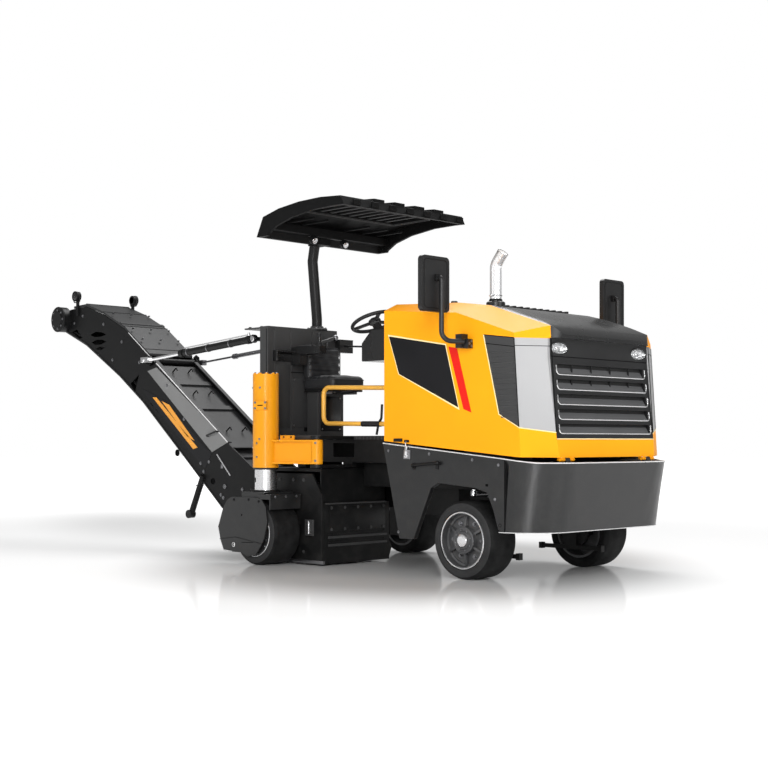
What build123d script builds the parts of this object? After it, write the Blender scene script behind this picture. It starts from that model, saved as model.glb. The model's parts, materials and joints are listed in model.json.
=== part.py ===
"""Cold planer (road milling machine) on four solid-rubber wheels, 500 mm drum class.

Row frame: +X forward (engine end), +Y to the machine's left, +Z up, ground at z = 0.
The origin is the middle of the footprint's bounding box at ground level. Millimetres.
"""

import math
import os

from build123d import *

os.makedirs("parts", exist_ok=True)

# ---------------------------------------------------------------- driving dimensions
AX = 2330.0            # x of the front axle in the row frame
HALF_W = 795.0         # half width over the body sides
WALL = 40.0            # thickness of the hood's moulded wall

WHEEL_R = 270.0        # front wheels, radius
WHEEL_W = 270.0        # width of every wheel
WHEEL_Y = 655.0        # front wheel centre from the middle plane
KING_Y = 475.0         # king pin from the middle plane
REAR_R = 250.0         # rear wheels, radius
RIM_R = 198.0          # seat of the solid tyre on its rim

SKIRT_X1 = AX + 385    # seam between side skirts and front skirt

LEG_X, LEG_Y = AX - 1880, -955.0       # right rear leg
HINGE_X, HINGE_Y = AX - 1468, -795.0   # vertical hinge that the right leg swings on
LEFT_X, LEFT_Y = AX - 1850, 640.0      # left rear leg

DRUM_X, DRUM_Z = AX - 1765, 372.0      # milling drum axis
DRUM_R, CUT_R = 250.0, 318.0           # drum barrel and cutting circle
DRUM_Y0, DRUM_Y1 = -770.0, -270.0      # drum ends, 500 mm apart
BOX_X0, BOX_X1 = AX - 2120, AX - 1412  # drum housing, rear and front walls
BOX_Y0, BOX_Y1 = -795.0, -70.0

DECK_Z = 990.0         # operator platform, top of plate
TOWER_X0, TOWER_X1 = AX - 2140, AX - 2040
TOWER_Y0, TOWER_Y1 = -798.0, -53.0
TOWER_Z = 1862.0

SLEW_X, CONV_Y = AX - 2340, -405.0     # slewing axis of the conveyor
LIFT_Z = 520.0                         # lift pivot of the conveyor
CONV_W = 240.0                         # half width of the conveyor frame
ARM_Y = 290.0                          # lift cylinder and stay, from the conveyor's middle
ARM_Z = 1780.0                         # their front pins
LUG_X, LUG_Z = AX - 3850, 1665.0       # their rear lugs, on the conveyor's cross tube
SEAT_Y = -280.0                        # operator's seat, column and wheel


# ---------------------------------------------------------------- shape helpers
def block(x0, x1, y0, y1, z0, z1, mode=Mode.ADD):
    """Box between two corners."""
    with Locations(((x0 + x1) / 2, (y0 + y1) / 2, (z0 + z1) / 2)):
        Box(abs(x1 - x0), abs(y1 - y0), abs(z1 - z0), mode=mode)


def prism_xz(points, y0, y1, mode=Mode.ADD):
    """Side outline of (x, z) points, from y0 to y1."""
    with BuildSketch(Plane.XZ.offset(-y1)) as face:
        with BuildLine():
            Polyline(*points, close=True)
        make_face()
    extrude(face.sketch, amount=y1 - y0, mode=mode)


def prism_xy(points, z0, z1, mode=Mode.ADD):
    """Plan outline of (x, y) points, from z0 to z1."""
    with BuildSketch(Plane.XY.offset(z0)) as face:
        with BuildLine():
            Polyline(*points, close=True)
        make_face()
    extrude(face.sketch, amount=z1 - z0, mode=mode)


def prism_yz(points, x0, x1, mode=Mode.ADD):
    """Front outline of (y, z) points, from x0 to x1."""
    with BuildSketch(Plane.YZ.offset(x0)) as face:
        with BuildLine():
            Polyline(*points, close=True)
        make_face()
    extrude(face.sketch, amount=x1 - x0, mode=mode)


def bar_x(y, z, r, x0, x1, mode=Mode.ADD):
    with Locations(Location(((x0 + x1) / 2, y, z), (0, 90, 0))):
        Cylinder(r, x1 - x0, mode=mode)


def bar_y(x, z, r, y0, y1, mode=Mode.ADD):
    with Locations(Location((x, (y0 + y1) / 2, z), (90, 0, 0))):
        Cylinder(r, y1 - y0, mode=mode)


def bar_z(x, y, r, z0, z1, mode=Mode.ADD):
    with Locations((x, y, (z0 + z1) / 2)):
        Cylinder(r, z1 - z0, mode=mode)


def bar_between(a, b, r, mode=Mode.ADD):
    """Round bar from point a to point b."""
    with BuildSketch(Plane(origin=a, z_dir=Vector(*b) - Vector(*a))) as face:
        Circle(r)
    extrude(face.sketch, amount=(Vector(*b) - Vector(*a)).length, mode=mode)


def pipe(points, radii, r, mode=Mode.ADD):
    """Bent tube along straight runs joined by arcs."""
    with BuildLine() as path:
        FilletPolyline(*points, radius=radii)
    with BuildSketch(Plane(origin=path.line @ 0, z_dir=path.line % 0)) as face:
        Circle(r)
    sweep(face.sketch, path=path.line, mode=mode)


def save(piece, name):
    piece.part.label = name
    export_step(piece.part, f"parts/{name}.step")


# ---------------------------------------------------------------- front wheels, knuckles, axle
def wheel(y_mid, x_mid, radius, out):
    """Solid tyre and dished rim; out is +1 or -1, the side that faces outwards."""
    half = WHEEL_W / 2
    with BuildPart() as tyre:
        with Locations(Location((x_mid, y_mid, radius), (90, 0, 0))):
            Cylinder(radius, WHEEL_W)
            Cylinder(RIM_R if radius > 260 else RIM_R - 12, WHEEL_W, mode=Mode.SUBTRACT)
        chamfer(tyre.edges().filter_by(GeomType.CIRCLE).group_by(SortBy.RADIUS)[-1], 14)
    seat = (RIM_R if radius > 260 else RIM_R - 12) - 0.0
    y_out, y_in = y_mid + out * half, y_mid - out * half
    with BuildPart() as rim:
        with Locations(Location((x_mid, y_mid, radius), (90, 0, 0))):
            Cylinder(seat, WHEEL_W - 8)
        # outer dish and the deep inner recess that the hub sits in
        for y_face, depth, r_cut in ((y_out, 62, seat - 16), (y_in, 150, seat - 16)):
            ya, yb = sorted((y_face, y_face - math.copysign(depth, y_face - y_mid)))
            bar_y(x_mid, radius, r_cut, ya, yb, mode=Mode.SUBTRACT)
        hub = sorted((y_out - out * 62, y_out - out * 18))
        bar_y(x_mid, radius, 92, hub[0], hub[1])
        cap = sorted((y_out - out * 18, y_out - out * 4))
        bar_y(x_mid, radius, 46, cap[0], cap[1])
    return tyre, rim


FRONT = (("right", -1), ("left", 1))
for side, s in FRONT:
    tyre, rim = wheel(s * WHEEL_Y, AX, WHEEL_R, s)
    save(tyre, f"front_tyre_{side}")
    save(rim, f"front_rim_{side}")
    # steering knuckle under the axle end: king pin, body, stub axle in the rim's recess, arm on top
    with BuildPart() as knuckle:
        bar_z(AX, s * KING_Y, 22, 380, 566)
        block(AX - 55, AX + 55, *sorted((s * (KING_Y - 50), s * (KING_Y + 36))), 170, 388)
        y_hub = sorted((s * KING_Y, s * (WHEEL_Y + WHEEL_W / 2 - 62 - 58.5)))
        bar_y(AX, WHEEL_R, 40, y_hub[0], y_hub[1])
        prism_xy([(AX + x, s * (KING_Y + y)) for x, y in ((35, -32), (35, 32), (-168, 26), (-194, 14), (-194, -14), (-168, -26))], 536, 556)
        # carrier bar at the foot, fore and aft beside the tyre
        block(AX - 320, AX + 262, *sorted((s * (KING_Y - 12), s * (KING_Y + 12))), 140, 170)
        for x in (-320, 232):
            block(AX + x, AX + x + 30, *sorted((s * (KING_Y - 20), s * (KING_Y + 20))), 132, 178)
    save(knuckle, f"steering_knuckle_{side}")

with BuildPart() as front_axle:
    block(AX - 75, AX + 75, -400, 400, 400, 520)
    block(AX - 48, AX + 48, -KING_Y, KING_Y, 400, 520)
    bar_x(0, 460, 46, AX - 140, AX + 140)
    for s in (-1, 1):
        bar_z(AX, s * KING_Y, 37, 396, 530)
        bar_z(AX, s * KING_Y, 22.1, 380, 540, mode=Mode.SUBTRACT)
save(front_axle, "front_axle")

with BuildPart() as tie_rod:
    bar_y(AX - 168, 578, 12, -KING_Y, KING_Y)
    for s in (-1, 1):
        bar_z(AX - 168, s * KING_Y, 24, 562, 594)
save(tie_rod, "steering_tie_rod")

# ---------------------------------------------------------------- main frame
with BuildPart() as main_frame:
    # long rails; the right one starts at the drum housing
    block(BOX_X1 + 20, AX + 430, -370, -270, 600, 780)
    block(AX - 2150, AX + 430, 270, 370, 600, 780)
    for x0, x1 in ((-1290, -1200), (-730, -650), (340, 430)):
        block(AX + x0, AX + x1, -370, 370, 600, 780)
    # eye for a lashing shackle at the left rail's tail
    block(AX - 2230, AX - 2140, 305, 335, 640, 740)
    bar_y(AX - 2190, 690, 20, 290, 350, mode=Mode.SUBTRACT)
save(main_frame, "main_frame")

with BuildPart() as axle_pivot:
    for x0, x1 in ((-125, -85), (85, 125)):
        block(AX + x0, AX + x1, -110, 110, 395, 640)
    block(AX - 125, AX + 125, -268, 268, 600, 640)
    bar_x(0, 460, 46.1, AX - 150, AX + 150, mode=Mode.SUBTRACT)
save(axle_pivot, "axle_pivot_block")

with BuildPart() as platform_frame:
    # outer beams under the platform edges
    block(AX - 2150, AX - 760, -475, -435, 784, 960)
    block(AX - 2150, AX - 760, 745, 785, 784, 960)
    for x0, x1 in ((-2150, -2050), (-1290, -1200), (-860, -760)):
        block(AX + x0, AX + x1, -435, 745, 784, 960)
    for x0, x1 in ((-1290, -1200), (-860, -760)):
        block(AX + x0, AX + x1, -370, -270, 780, 784)
        block(AX + x0, AX + x1, 270, 370, 780, 784)
    # window in the right outer beam
    block(AX - 1632, AX - 1394, -485, -425, 825, 934, mode=Mode.SUBTRACT)
    # outrigger with the two lugs that hold the right leg's hinge
    for z0, z1 in ((746, 770), (964, 990)):
        block(AX - 1520, AX - 1416, HINGE_Y, -425, z0, z1)
        bar_z(HINGE_X, HINGE_Y, 52, z0, z1)
    for z0, z1 in ((746, 800), (950, 990)):
        block(AX - 1520, AX - 1416, -475, -425, z0, z1)
    bar_z(HINGE_X, HINGE_Y, 25.1, 700, 1000, mode=Mode.SUBTRACT)
    # hangers of the drum housing, and the hood's rear rest
    for x in (-2100, -1560):
        block(AX + x, AX + x + 100, -435, -30, 741, 800)
    block(AX - 758, AX - 700, -500, 500, 784, 850)
    block(AX - 760, AX - 700, -435, 435, 850, 880)
save(platform_frame, "platform_frame")

with BuildPart() as tank:
    block(AX - 1180, AX - 500, -262, 262, 395, 600)
    bar_z(AX - 1000, 150, 45, 600, 640)
save(tank, "hydraulic_tank")

# ---------------------------------------------------------------- skirts
SIDE = [(-760, 933), (385, 829), (385, 340), (327, 357), (283, 489), (230, 601), (115, 632),
        (-217, 658), (-283, 622), (-451, 257), (-595, 254)]
with BuildPart() as side_skirts:
    for s in (-1, 1):
        y0, y1 = sorted((s * HALF_W, s * (HALF_W - 40)))
        prism_xz([(AX + x, z) for x, z in SIDE], y0, y1)
        block(AX - 560, AX + 300, *sorted((s * 372, s * (HALF_W - 40))), 700, 740)
save(side_skirts, "side_skirts")

with BuildPart() as front_skirt:
    # plan sections: z, front x
    for z, xf in ((340, 655), (829, 738)):
        with BuildSketch(Plane.XY.offset(z)) as plan:
            with Locations((SKIRT_X1 + (xf - 385 - 700) / 2, 0)):
                RectangleRounded(xf - 385 + 700, 2 * HALF_W, 320)
            with Locations((SKIRT_X1 - 1000, 0)):
                Rectangle(2000, 3000, mode=Mode.SUBTRACT)
    loft()
    # the top edge falls towards the front
    prism_xz([(AX + x, z) for x, z in ((385, 829), (600, 805), (800, 803), (800, 900), (385, 900))], -900, 900, mode=Mode.SUBTRACT)
    block(SKIRT_X1 - 10, AX + 452, -(HALF_W - 55), HALF_W - 55, 300, 900, mode=Mode.SUBTRACT)
    for s in (-1, 1):                                     # middle knuckles of the hood's hinges
        block(AX + 636, AX + 662, *sorted((s * 446, s * 494)), 800, 826)
        bar_y(AX + 649, 826, 12, *sorted((s * 446, s * 494)))
    bar_y(AX + 649, 826, 6.1, -560, 560, mode=Mode.SUBTRACT)
save(front_skirt, "front_skirt")

# ---------------------------------------------------------------- engine
with BuildPart() as engine_block:
    block(AX - 450, AX + 320, -265, 265, 650, 1180)
    block(AX - 380, AX + 220, -190, 190, 1180, 1500)
    block(AX - 300, AX + 60, -250, -190, 1100, 1380)
    for x in (-400, 200):
        block(AX + x, AX + x + 70, -270, 270, 640, 700)
save(engine_block, "engine_block")

with BuildPart() as radiator:
    block(AX + 345, AX + 425, -440, 440, 780, 1480)
    for y0, y1 in ((-440, -400), (400, 440)):
        block(AX + 335, AX + 435, y0, y1, 780, 1500)
save(radiator, "radiator")


# ---------------------------------------------------------------- hood
ROOF = [(-745, 1945), (-180, 1922), (60, 1890), (280, 1838), (470, 1770), (596, 1713), (640, 1660), (640, 1637)]
FRONT_FACE = [(581, 1637), (584, 1517), (640, 959), (655, 840)]


def hood_solid(t):
    """Outer form of the hood, drawn in by t on every side; open below when t is more than 0."""
    low = -60 if t else 0
    side = [(x + (t if i == 0 else -t * 0.4), z - t) for i, (x, z) in enumerate(ROOF[:-2])]
    side += [(ROOF[-1][0] - t - 50 * (t > 0), ROOF[-1][1] - t * 0.5)] if t else list(ROOF[-2:])
    side += [(x - t, z + (low if z < 900 else 0)) for x, z in FRONT_FACE]
    side += [(490, 852 - 8 + low), (-745 + t, 950 + low)]
    with BuildPart() as solid:
        prism_xz([(AX + x, z) for x, z in side], -(HALF_W - t), HALF_W - t)
        for s in (-1, 1):
            y = HALF_W
            # shoulder planes (rear, front) and the corner plane, each by three points
            planes = (
                ((-745, y, 1889), (-50, y, 1832), (-745, y - 120, 1942)),
                ((-50, y, 1832), (450, y, 1668), (-50, y - 200, 1915)),
                ((464, y, 1632), (506, y, 1039), (640, 566, 959)),
            )
            for a, b, c in planes:
                pa, pb, pc = (Vector(AX + p[0], s * p[1], p[2]) for p in (a, b, c))
                n = (pb - pa).cross(pc - pa).normalized()
                if n.dot(Vector(AX, 0, 1200) - pa) > 0:
                    n = n * -1
                split(bisect_by=Plane(origin=pa - n * t, z_dir=n), keep=Keep.BOTTOM)
    return solid.part


hood_outer, hood_inner = hood_solid(0), hood_solid(WALL)
with BuildPart() as hood_skin:
    add(hood_outer)
    add(hood_inner, mode=Mode.SUBTRACT)


def panel_zones(zone, mode=Mode.ADD):
    """The prisms that part the hood's skin into its panels."""
    if zone == "top":
        block(AX - 362, AX + 740, -566, 566, 1636.5, 2000, mode=mode)
    if zone == "grille":
        block(AX + 440, AX + 740, -566, 566, 959, 1636.5, mode=mode)
    for s in (-1, 1):
        y0, y1 = sorted((s * (HALF_W - WALL - 1), s * (HALF_W + 10)))
        if zone == "window":
            prism_xz([(AX + x, z) for x, z in ((200, 1665), (464, 1632), (506, 1039), (335, 1128))], y0, y1, mode=mode)
        if zone == "corner":
            y0, y1 = sorted((s * 566, s * (HALF_W + 10)))
            prism_xz([(AX + x, z) for x, z in ((464, 1632), (740, 1632), (740, 985), (506, 1039))], y0, y1, mode=mode)


with BuildPart() as hood_shell:
    add(hood_skin.part)
    for zone in ("top", "grille", "window", "corner"):
        panel_zones(zone, Mode.SUBTRACT)
    for s in (-1, 1):                                     # outer knuckles of the hinges
        for y0, y1 in ((396, 440), (500, 544)):
            block(AX + 625, AX + 649, *sorted((s * y0, s * y1)), 820, 850)
            bar_y(AX + 649, 826, 12, *sorted((s * y0, s * y1)))
        bar_y(AX + 649, 826, 6.0, *sorted((s * 396, s * 544)))
save(hood_shell, "hood_shell")

with BuildPart() as hood_top:
    add(hood_skin.part)
    panel_zones("top", Mode.INTERSECT)
    block(AX + 540, AX + 541.5, -570, 570, 1630, 1638, mode=Mode.SUBTRACT)
save(hood_top, "hood_top")

with BuildPart() as hood_windows:
    add(hood_skin.part)
    with BuildPart(mode=Mode.PRIVATE) as zone:
        panel_zones("window")
    add(zone.part, mode=Mode.INTERSECT)
save(hood_windows, "hood_side_vents")

with BuildPart() as hood_corners:
    add(hood_skin.part)
    with BuildPart(mode=Mode.PRIVATE) as zone:
        panel_zones("corner")
    add(zone.part, mode=Mode.INTERSECT)
save(hood_corners, "hood_corner_panels")

with BuildPart() as grille:
    add(hood_skin.part)
    panel_zones("grille", Mode.INTERSECT)
    # five slots, from the top: z low, z high, half width
    for z0, z1, half in ((1395, 1465, 500), (1295, 1365, 505), (1195, 1265, 510), (1095, 1165, 515), (1000, 1065, 520)):
        block(AX + 530, AX + 700, -half, half, z0, z1, mode=Mode.SUBTRACT)
    for s in (-1, 1):                                     # headlight seats
        with BuildSketch(Plane.YZ.offset(AX + 500)) as seat:
            with Locations((s * 462, 1571)):
                Ellipse(98, 44)
        extrude(seat.sketch, amount=200, mode=Mode.SUBTRACT)
save(grille, "grille")

with BuildPart() as headlights:
    for s in (-1, 1):
        with BuildSketch(Plane.YZ.offset(AX + 538)) as lens:
            with Locations((s * 462, 1571)):
                Ellipse(97.5, 43.5)
        extrude(lens.sketch, amount=38)
save(headlights, "headlights")

with BuildPart() as exhaust:
    pipe([(AX - 150, -255, 1880), (AX - 150, -255, 2215), (AX - 82, -255, 2300)], 90, 42)
    bar_z(AX - 150, -255, 58, 1880, 1940)
    add(hood_outer, mode=Mode.SUBTRACT)
save(exhaust, "exhaust_pipe")

with BuildPart() as mirrors:
    for s, fore in ((-1, 0), (1, 60)):                    # the left mirror stands further forward
        with BuildSketch(Plane.YZ.offset(AX + fore - 98)) as plate:
            with Locations((s * 985, 2013)):
                RectangleRounded(275, 376, 32)
        extrude(plate.sketch, amount=36)
        pipe([(AX + fore - 66, s * 975, 2055), (AX + fore - 18, s * 975, 2055), (AX + fore - 18, s * 975, 1628), (AX + 70, s * 845, 1622)],
             [24, 70], 17)
        block(AX + 2, AX + 58, *sorted((s * HALF_W, s * 858)), 1582, 1676)
        block(AX + 58, AX + 104, *sorted((s * HALF_W, s * 842)), 1578, 1640)
save(mirrors, "mirrors")

# ---------------------------------------------------------------- platform, tower, canopy
with BuildPart() as deck:
    prism_xy([(AX - 2150, TOWER_Y0), (AX - 1420, TOWER_Y0), (AX - 1420, -475), (AX - 770, -475), (AX - 770, 795), (AX - 2150, 795)], 960, DECK_Z)
    bar_z(HINGE_X, HINGE_Y, 120, 950, 1000, mode=Mode.SUBTRACT)
    block(AX - 1530, AX - 1400, -850, -420, 950, 1000, mode=Mode.SUBTRACT)
    block(LEFT_X - 150, LEFT_X + 150, LEFT_Y - 150, LEFT_Y + 150, 950, 1000, mode=Mode.SUBTRACT)
save(deck, "platform_deck")

with BuildPart() as bulkhead:
    block(AX - 800, AX - 770, -475, 655, DECK_Z, 1840)
    # bracket that holds the ends of the handrail
    block(AX - 800, AX - 770, -525, -475, 1040, 1400)
save(bulkhead, "bulkhead")

with BuildPart() as tower:
    block(TOWER_X0, TOWER_X1, TOWER_Y0, TOWER_Y1, DECK_Z, TOWER_Z)
    # grooves that part the front into panels: y, lower z, upper z
    for y, z0, z1 in ((-735, 1030, 1840), (-560, 1030, 1840), (-330, 1500, 1840)):
        block(TOWER_X1 - 8, TOWER_X1 + 10, y - 6, y + 6, z0, z1, mode=Mode.SUBTRACT)
    # two plates that hold the lift yoke's pin, the upper one drawn out as a cap
    block(TOWER_X0 - 240, TOWER_X0, -763, CONV_Y + 80, 1850, TOWER_Z)
    block(SLEW_X - 60, TOWER_X0, CONV_Y - 60, CONV_Y + 60, 1822, 1850)
    bar_z(SLEW_X, CONV_Y, 60, 1822, 1850)
    block(SLEW_X - 60, TOWER_X0, CONV_Y - 60, CONV_Y + 60, 1722, 1742)
    bar_z(SLEW_X, CONV_Y, 60, 1722, 1742)
    bar_z(SLEW_X, CONV_Y, 20, 1722, 1850)
save(tower, "rear_tower")

with BuildPart() as canopy_post:
    pipe([(AX - 2085, -237, TOWER_Z), (AX - 2085, -237, TOWER_Z + 90), (AX - 2085, -285, 2420), (AX - 2055, -285, 2570)], [30, 60], 42)
    block(AX - 2200, AX - 1900, -400, -200, 2540, 2700, mode=Mode.SUBTRACT)
save(canopy_post, "canopy_post")

CANOPY_Y0, CANOPY_Y1 = -925.0, 415.0
# side outline: (x, z) along the top, then back along the fascia's lower edge
CANOPY_TOP = [(-2029, 2545), (-1951, 2697), (-1768, 2740), (-1536, 2764), (-1295, 2768), (-1070, 2752), (-1037, 2684)]
CANOPY_LOW = [(-1144, 2687), (-1363, 2685), (-1624, 2655), (-1804, 2609), (-1895, 2560), (-1905, 2545)]
with BuildPart() as canopy:
    prism_xz([(AX + x, z) for x, z in CANOPY_TOP + CANOPY_LOW], CANOPY_Y0, CANOPY_Y1)
    hollow = [(-2008, 2520), (-1936, 2680), (-1762, 2722), (-1534, 2746), (-1295, 2750), (-1086, 2735), (-1060, 2660)]
    prism_xz([(AX + x, z) for x, z in hollow], CANOPY_Y0 + 28, CANOPY_Y1 - 28, mode=Mode.SUBTRACT)
    # corrugations along the roof: middle y of each
    for y in (-520, -300, -80, 140):
        up = [(x, z + 20) for x, z in CANOPY_TOP[2:6]]
        down = [(x, z - 6) for x, z in reversed(CANOPY_TOP[2:6])]
        prism_xz([(AX + x, z) for x, z in up + down], y - 55, y + 55)
    # underside: cross channel over the post and the frame of the hatch
    block(AX - 1990, AX - 1890, CANOPY_Y0 + 20, CANOPY_Y1 - 20, 2600, 2660)
    block(AX - 2075, AX - 1930, -345, -225, 2540, 2604)
    for x0, x1, y0, y1 in ((-1500, -1478, -900, 60), (-1112, -1090, -900, 60), (-1500, -1090, -912, -890), (-1500, -1090, 40, 62)):
        block(AX + x0, AX + x1, y0, y1, 2690, 2752)
save(canopy, "canopy_roof")

with BuildPart() as seat_base:
    block(AX - 2000, AX - 1870, SEAT_Y - 140, SEAT_Y + 140, DECK_Z, 1352)
save(seat_base, "seat_pedestal")

with BuildPart() as seat:
    block(AX - 2030, AX - 1650, SEAT_Y - 180, SEAT_Y + 180, 1352, 1480)
    block(AX - 2030, AX - 1930, SEAT_Y - 180, SEAT_Y + 180, 1480, 1800)
    chamfer(seat.edges().filter_by(Axis.X).group_by(Axis.Z)[-1], 30)
save(seat, "operator_seat")

with BuildPart() as armrests:
    block(AX - 1990, AX - 1700, -555, -485, 1640, 1700)
    block(AX - 2040, AX - 1930, -555, -485, 1560, 1700)
    bar_z(AX - 1740, -520, 14, 1700, 1770)
    block(AX - 2040, AX - 1985, -72, 77, 1680, 1783)
    bar_between((AX - 1990, -10, 1735), (AX - 1322, -125, 1690), 8)
save(armrests, "armrest_controls")

with BuildPart() as console:
    prism_xz([(AX + x, z) for x, z in ((-1320, 1562), (-1320, 1700), (-1215, 1800), (-800, 1800), (-800, 1562))], SEAT_Y - 180, SEAT_Y + 180)
    bar_between((AX - 1240, SEAT_Y - 20, 1745), (AX - 1325, SEAT_Y - 20, 1853), 22)
save(console, "steering_console")

with BuildPart() as steering_wheel:
    hub = Plane(origin=(AX - 1340, SEAT_Y - 20, 1871), z_dir=(-0.375, 0, 0.927))
    with BuildSketch(hub):
        Circle(190)
        Circle(170, mode=Mode.SUBTRACT)
        for angle in (90, 210, 330):
            with Locations(Location((math.cos(math.radians(angle)) * 94, math.sin(math.radians(angle)) * 94), angle)):
                Rectangle(162, 22)
        Circle(40)
    extrude(amount=20)
save(steering_wheel, "steering_wheel")

with BuildPart() as handrail:
    y = -500
    pipe([(AX - 801, y, 1345), (AX - 1715, y, 1372), (AX - 1715, y, 1088), (AX - 801, y, 1075)], 60, 18)
save(handrail, "handrail")

# ---------------------------------------------------------------- drum housing and drum
with BuildPart() as housing:
    block(BOX_X0, BOX_X1, BOX_Y0 + 20, BOX_Y1, 14, 472)
    block(BOX_X0, BOX_X1 - 30, BOX_Y0 + 20, BOX_Y1 - 20, 472, 740)
    for z in (184, 247):                                  # swages across the front wall
        block(BOX_X1 - 6, BOX_X1 + 5, BOX_Y0 + 60, BOX_Y1 - 60, z - 7, z + 7, mode=Mode.SUBTRACT)
    block(BOX_X0 + 25, BOX_X1 - 22, BOX_Y0, DRUM_Y1 + 25, 0, 460, mode=Mode.SUBTRACT)
    block(BOX_X0 + 25, BOX_X1 - 42, BOX_Y0, DRUM_Y1 + 25, 450, 715, mode=Mode.SUBTRACT)
    # lower tongue that carries the conveyor's turntable
    block(BOX_X0 - 300, BOX_X0, CONV_Y - 90, CONV_Y + 90, 130, 160)
    bar_z(SLEW_X, CONV_Y, 110, 130, 160)
    bar_z(SLEW_X, CONV_Y, 30, 130, 218)
save(housing, "drum_housing")

with BuildPart() as plates:
    prism_xz([(BOX_X0, 60), (BOX_X0, 700), (BOX_X1 - 110, 700), (BOX_X1 - 20, 560), (BOX_X1, 540), (BOX_X1, 30), (BOX_X1 - 40, 12), (BOX_X0 + 60, 12)], BOX_Y0, BOX_Y0 + 20)
save(plates, "drum_side_plate")

with BuildPart() as drum:
    bar_y(DRUM_X, DRUM_Z, DRUM_R, DRUM_Y0, DRUM_Y1)
    # cutter boxes: (turn in degrees) for each row across the drum
    for i in range(24):
        a = math.radians(i * 75)
        y = DRUM_Y0 + 12 + (i + 0.5) * (DRUM_Y1 - DRUM_Y0 - 24) / 24
        with Locations(Location((DRUM_X + math.cos(a) * 280, y, DRUM_Z + math.sin(a) * 280), (0, -math.degrees(a), 0))):
            Box(72, 18, 60)
save(drum, "milling_drum")

# ---------------------------------------------------------------- right rear leg
with BuildPart() as leg:
    bar_z(LEG_X, LEG_Y, 100, 745, 1465)
    # arm to the hinge barrel
    d = Vector(HINGE_X - LEG_X, HINGE_Y - LEG_Y).normalized()
    n = Vector(-d.Y, d.X)
    for z0, z1, half in ((775, 787, 62), (946, 958, 62), (787, 946, 34)):
        a = Vector(LEG_X, LEG_Y) + d * 88
        b = Vector(HINGE_X, HINGE_Y)
        prism_xy([((a + n * half).X, (a + n * half).Y), ((b + n * half * 0.7).X, (b + n * half * 0.7).Y),
                  ((b - n * half * 0.7).X, (b - n * half * 0.7).Y), ((a - n * half).X, (a - n * half).Y)], z0, z1)
    bar_z(HINGE_X, HINGE_Y, 46, 775, 958)
    bar_z(HINGE_X, HINGE_Y, 25, 748, 985)
    # bolt ring on top, cut into lobes
    for i in range(10):
        a = math.radians(36 * i)
        bar_z(LEG_X + 86 * math.cos(a), LEG_Y + 86 * math.sin(a), 13, 1450, 1474)
    # plate screwed to the tube, and the stop lug with its two holes on the arm
    with Locations(Location((LEG_X + 94 * math.cos(math.radians(-64)), LEG_Y + 94 * math.sin(math.radians(-64)), 1223), (0, 0, -64))):
        Box(30, 104, 66)
    lug = Vector(LEG_X, LEG_Y) + d * 190
    with Locations(Location((lug.X, lug.Y, 975), (0, 0, math.degrees(math.atan2(d.Y, d.X))))):
        Box(120, 14, 36)
    for k in (-32, 32):
        c = lug + d * k
        with Locations(Location((c.X, c.Y, 980), (0, 0, math.degrees(math.atan2(d.Y, d.X))))):
            with Locations(Location((0, 0, 0), (90, 0, 0))):
                Cylinder(9, 40, mode=Mode.SUBTRACT)
    bar_z(LEG_X, LEG_Y, 85.1, 740, 1480, mode=Mode.SUBTRACT)
save(leg, "right_leg_housing")

with BuildPart() as strut:
    bar_z(LEG_X, LEG_Y, 85, 560, 1400)
save(strut, "right_leg_strut")

WR_X = AX - 1860
WR_Y = LEG_Y - 0.5
GUARD = [(-2278, 273), (-2253, 180), (-2211, 98), (-2100, 90), (-1987, 90), (-1921, 63), (-1817, 80), (-1745, 165),
         (-1719, 207), (-1682, 330), (-1698, 451), (-1753, 512), (-1849, 520), (-2110, 516), (-2160, 495), (-2211, 433)]
with BuildPart() as fork:
    block(WR_X - 140, WR_X + 130, WR_Y - 142, WR_Y + 148, 507, 560)
    block(WR_X - 120, WR_X + 120, WR_Y + 140, WR_Y + 150, 150, 560)
    bar_y(WR_X, REAR_R, 60, WR_Y + 15, WR_Y + 150)
    prism_xz([(AX + x, z) for x, z in GUARD], WR_Y - 155, WR_Y - 142)
    # crown drawn forward and its flap in front of the tyre
    block(WR_X + 100, WR_X + 218, WR_Y - 155, WR_Y + 148, 507, 545)
    block(WR_X + 206, WR_X + 218, WR_Y - 155, WR_Y + 148, 432, 545)
    bar_y(AX - 2083, 147, 15, WR_Y - 160, WR_Y - 140, mode=Mode.SUBTRACT)
    bar_y(AX - 1984, 380, 8, WR_Y - 160, WR_Y - 140, mode=Mode.SUBTRACT)
save(fork, "right_wheel_fork")

tyre, rim = wheel(WR_Y, WR_X, REAR_R, -1)
save(tyre, "rear_tyre_right")
save(rim, "rear_rim_right")

# ---------------------------------------------------------------- left rear leg
with BuildPart() as left_leg:
    bar_z(LEFT_X, LEFT_Y, 100, 620, 1180)
    block(LEFT_X - 150, LEFT_X + 150, 371, 743, 640, 780)
    bar_z(LEFT_X, LEFT_Y, 85, 545, 640)
    block(LEFT_X - 120, LEFT_X + 120, LEFT_Y - 160, LEFT_Y + 140, 515, 560)
    block(LEFT_X - 100, LEFT_X + 100, LEFT_Y - 160, LEFT_Y - 146, 150, 560)
    bar_y(LEFT_X, REAR_R, 60, LEFT_Y - 150, LEFT_Y + 15)
save(left_leg, "left_leg")
tyre, rim = wheel(LEFT_Y, LEFT_X, REAR_R, 1)
save(tyre, "rear_tyre_left")
save(rim, "rear_rim_left")

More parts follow.
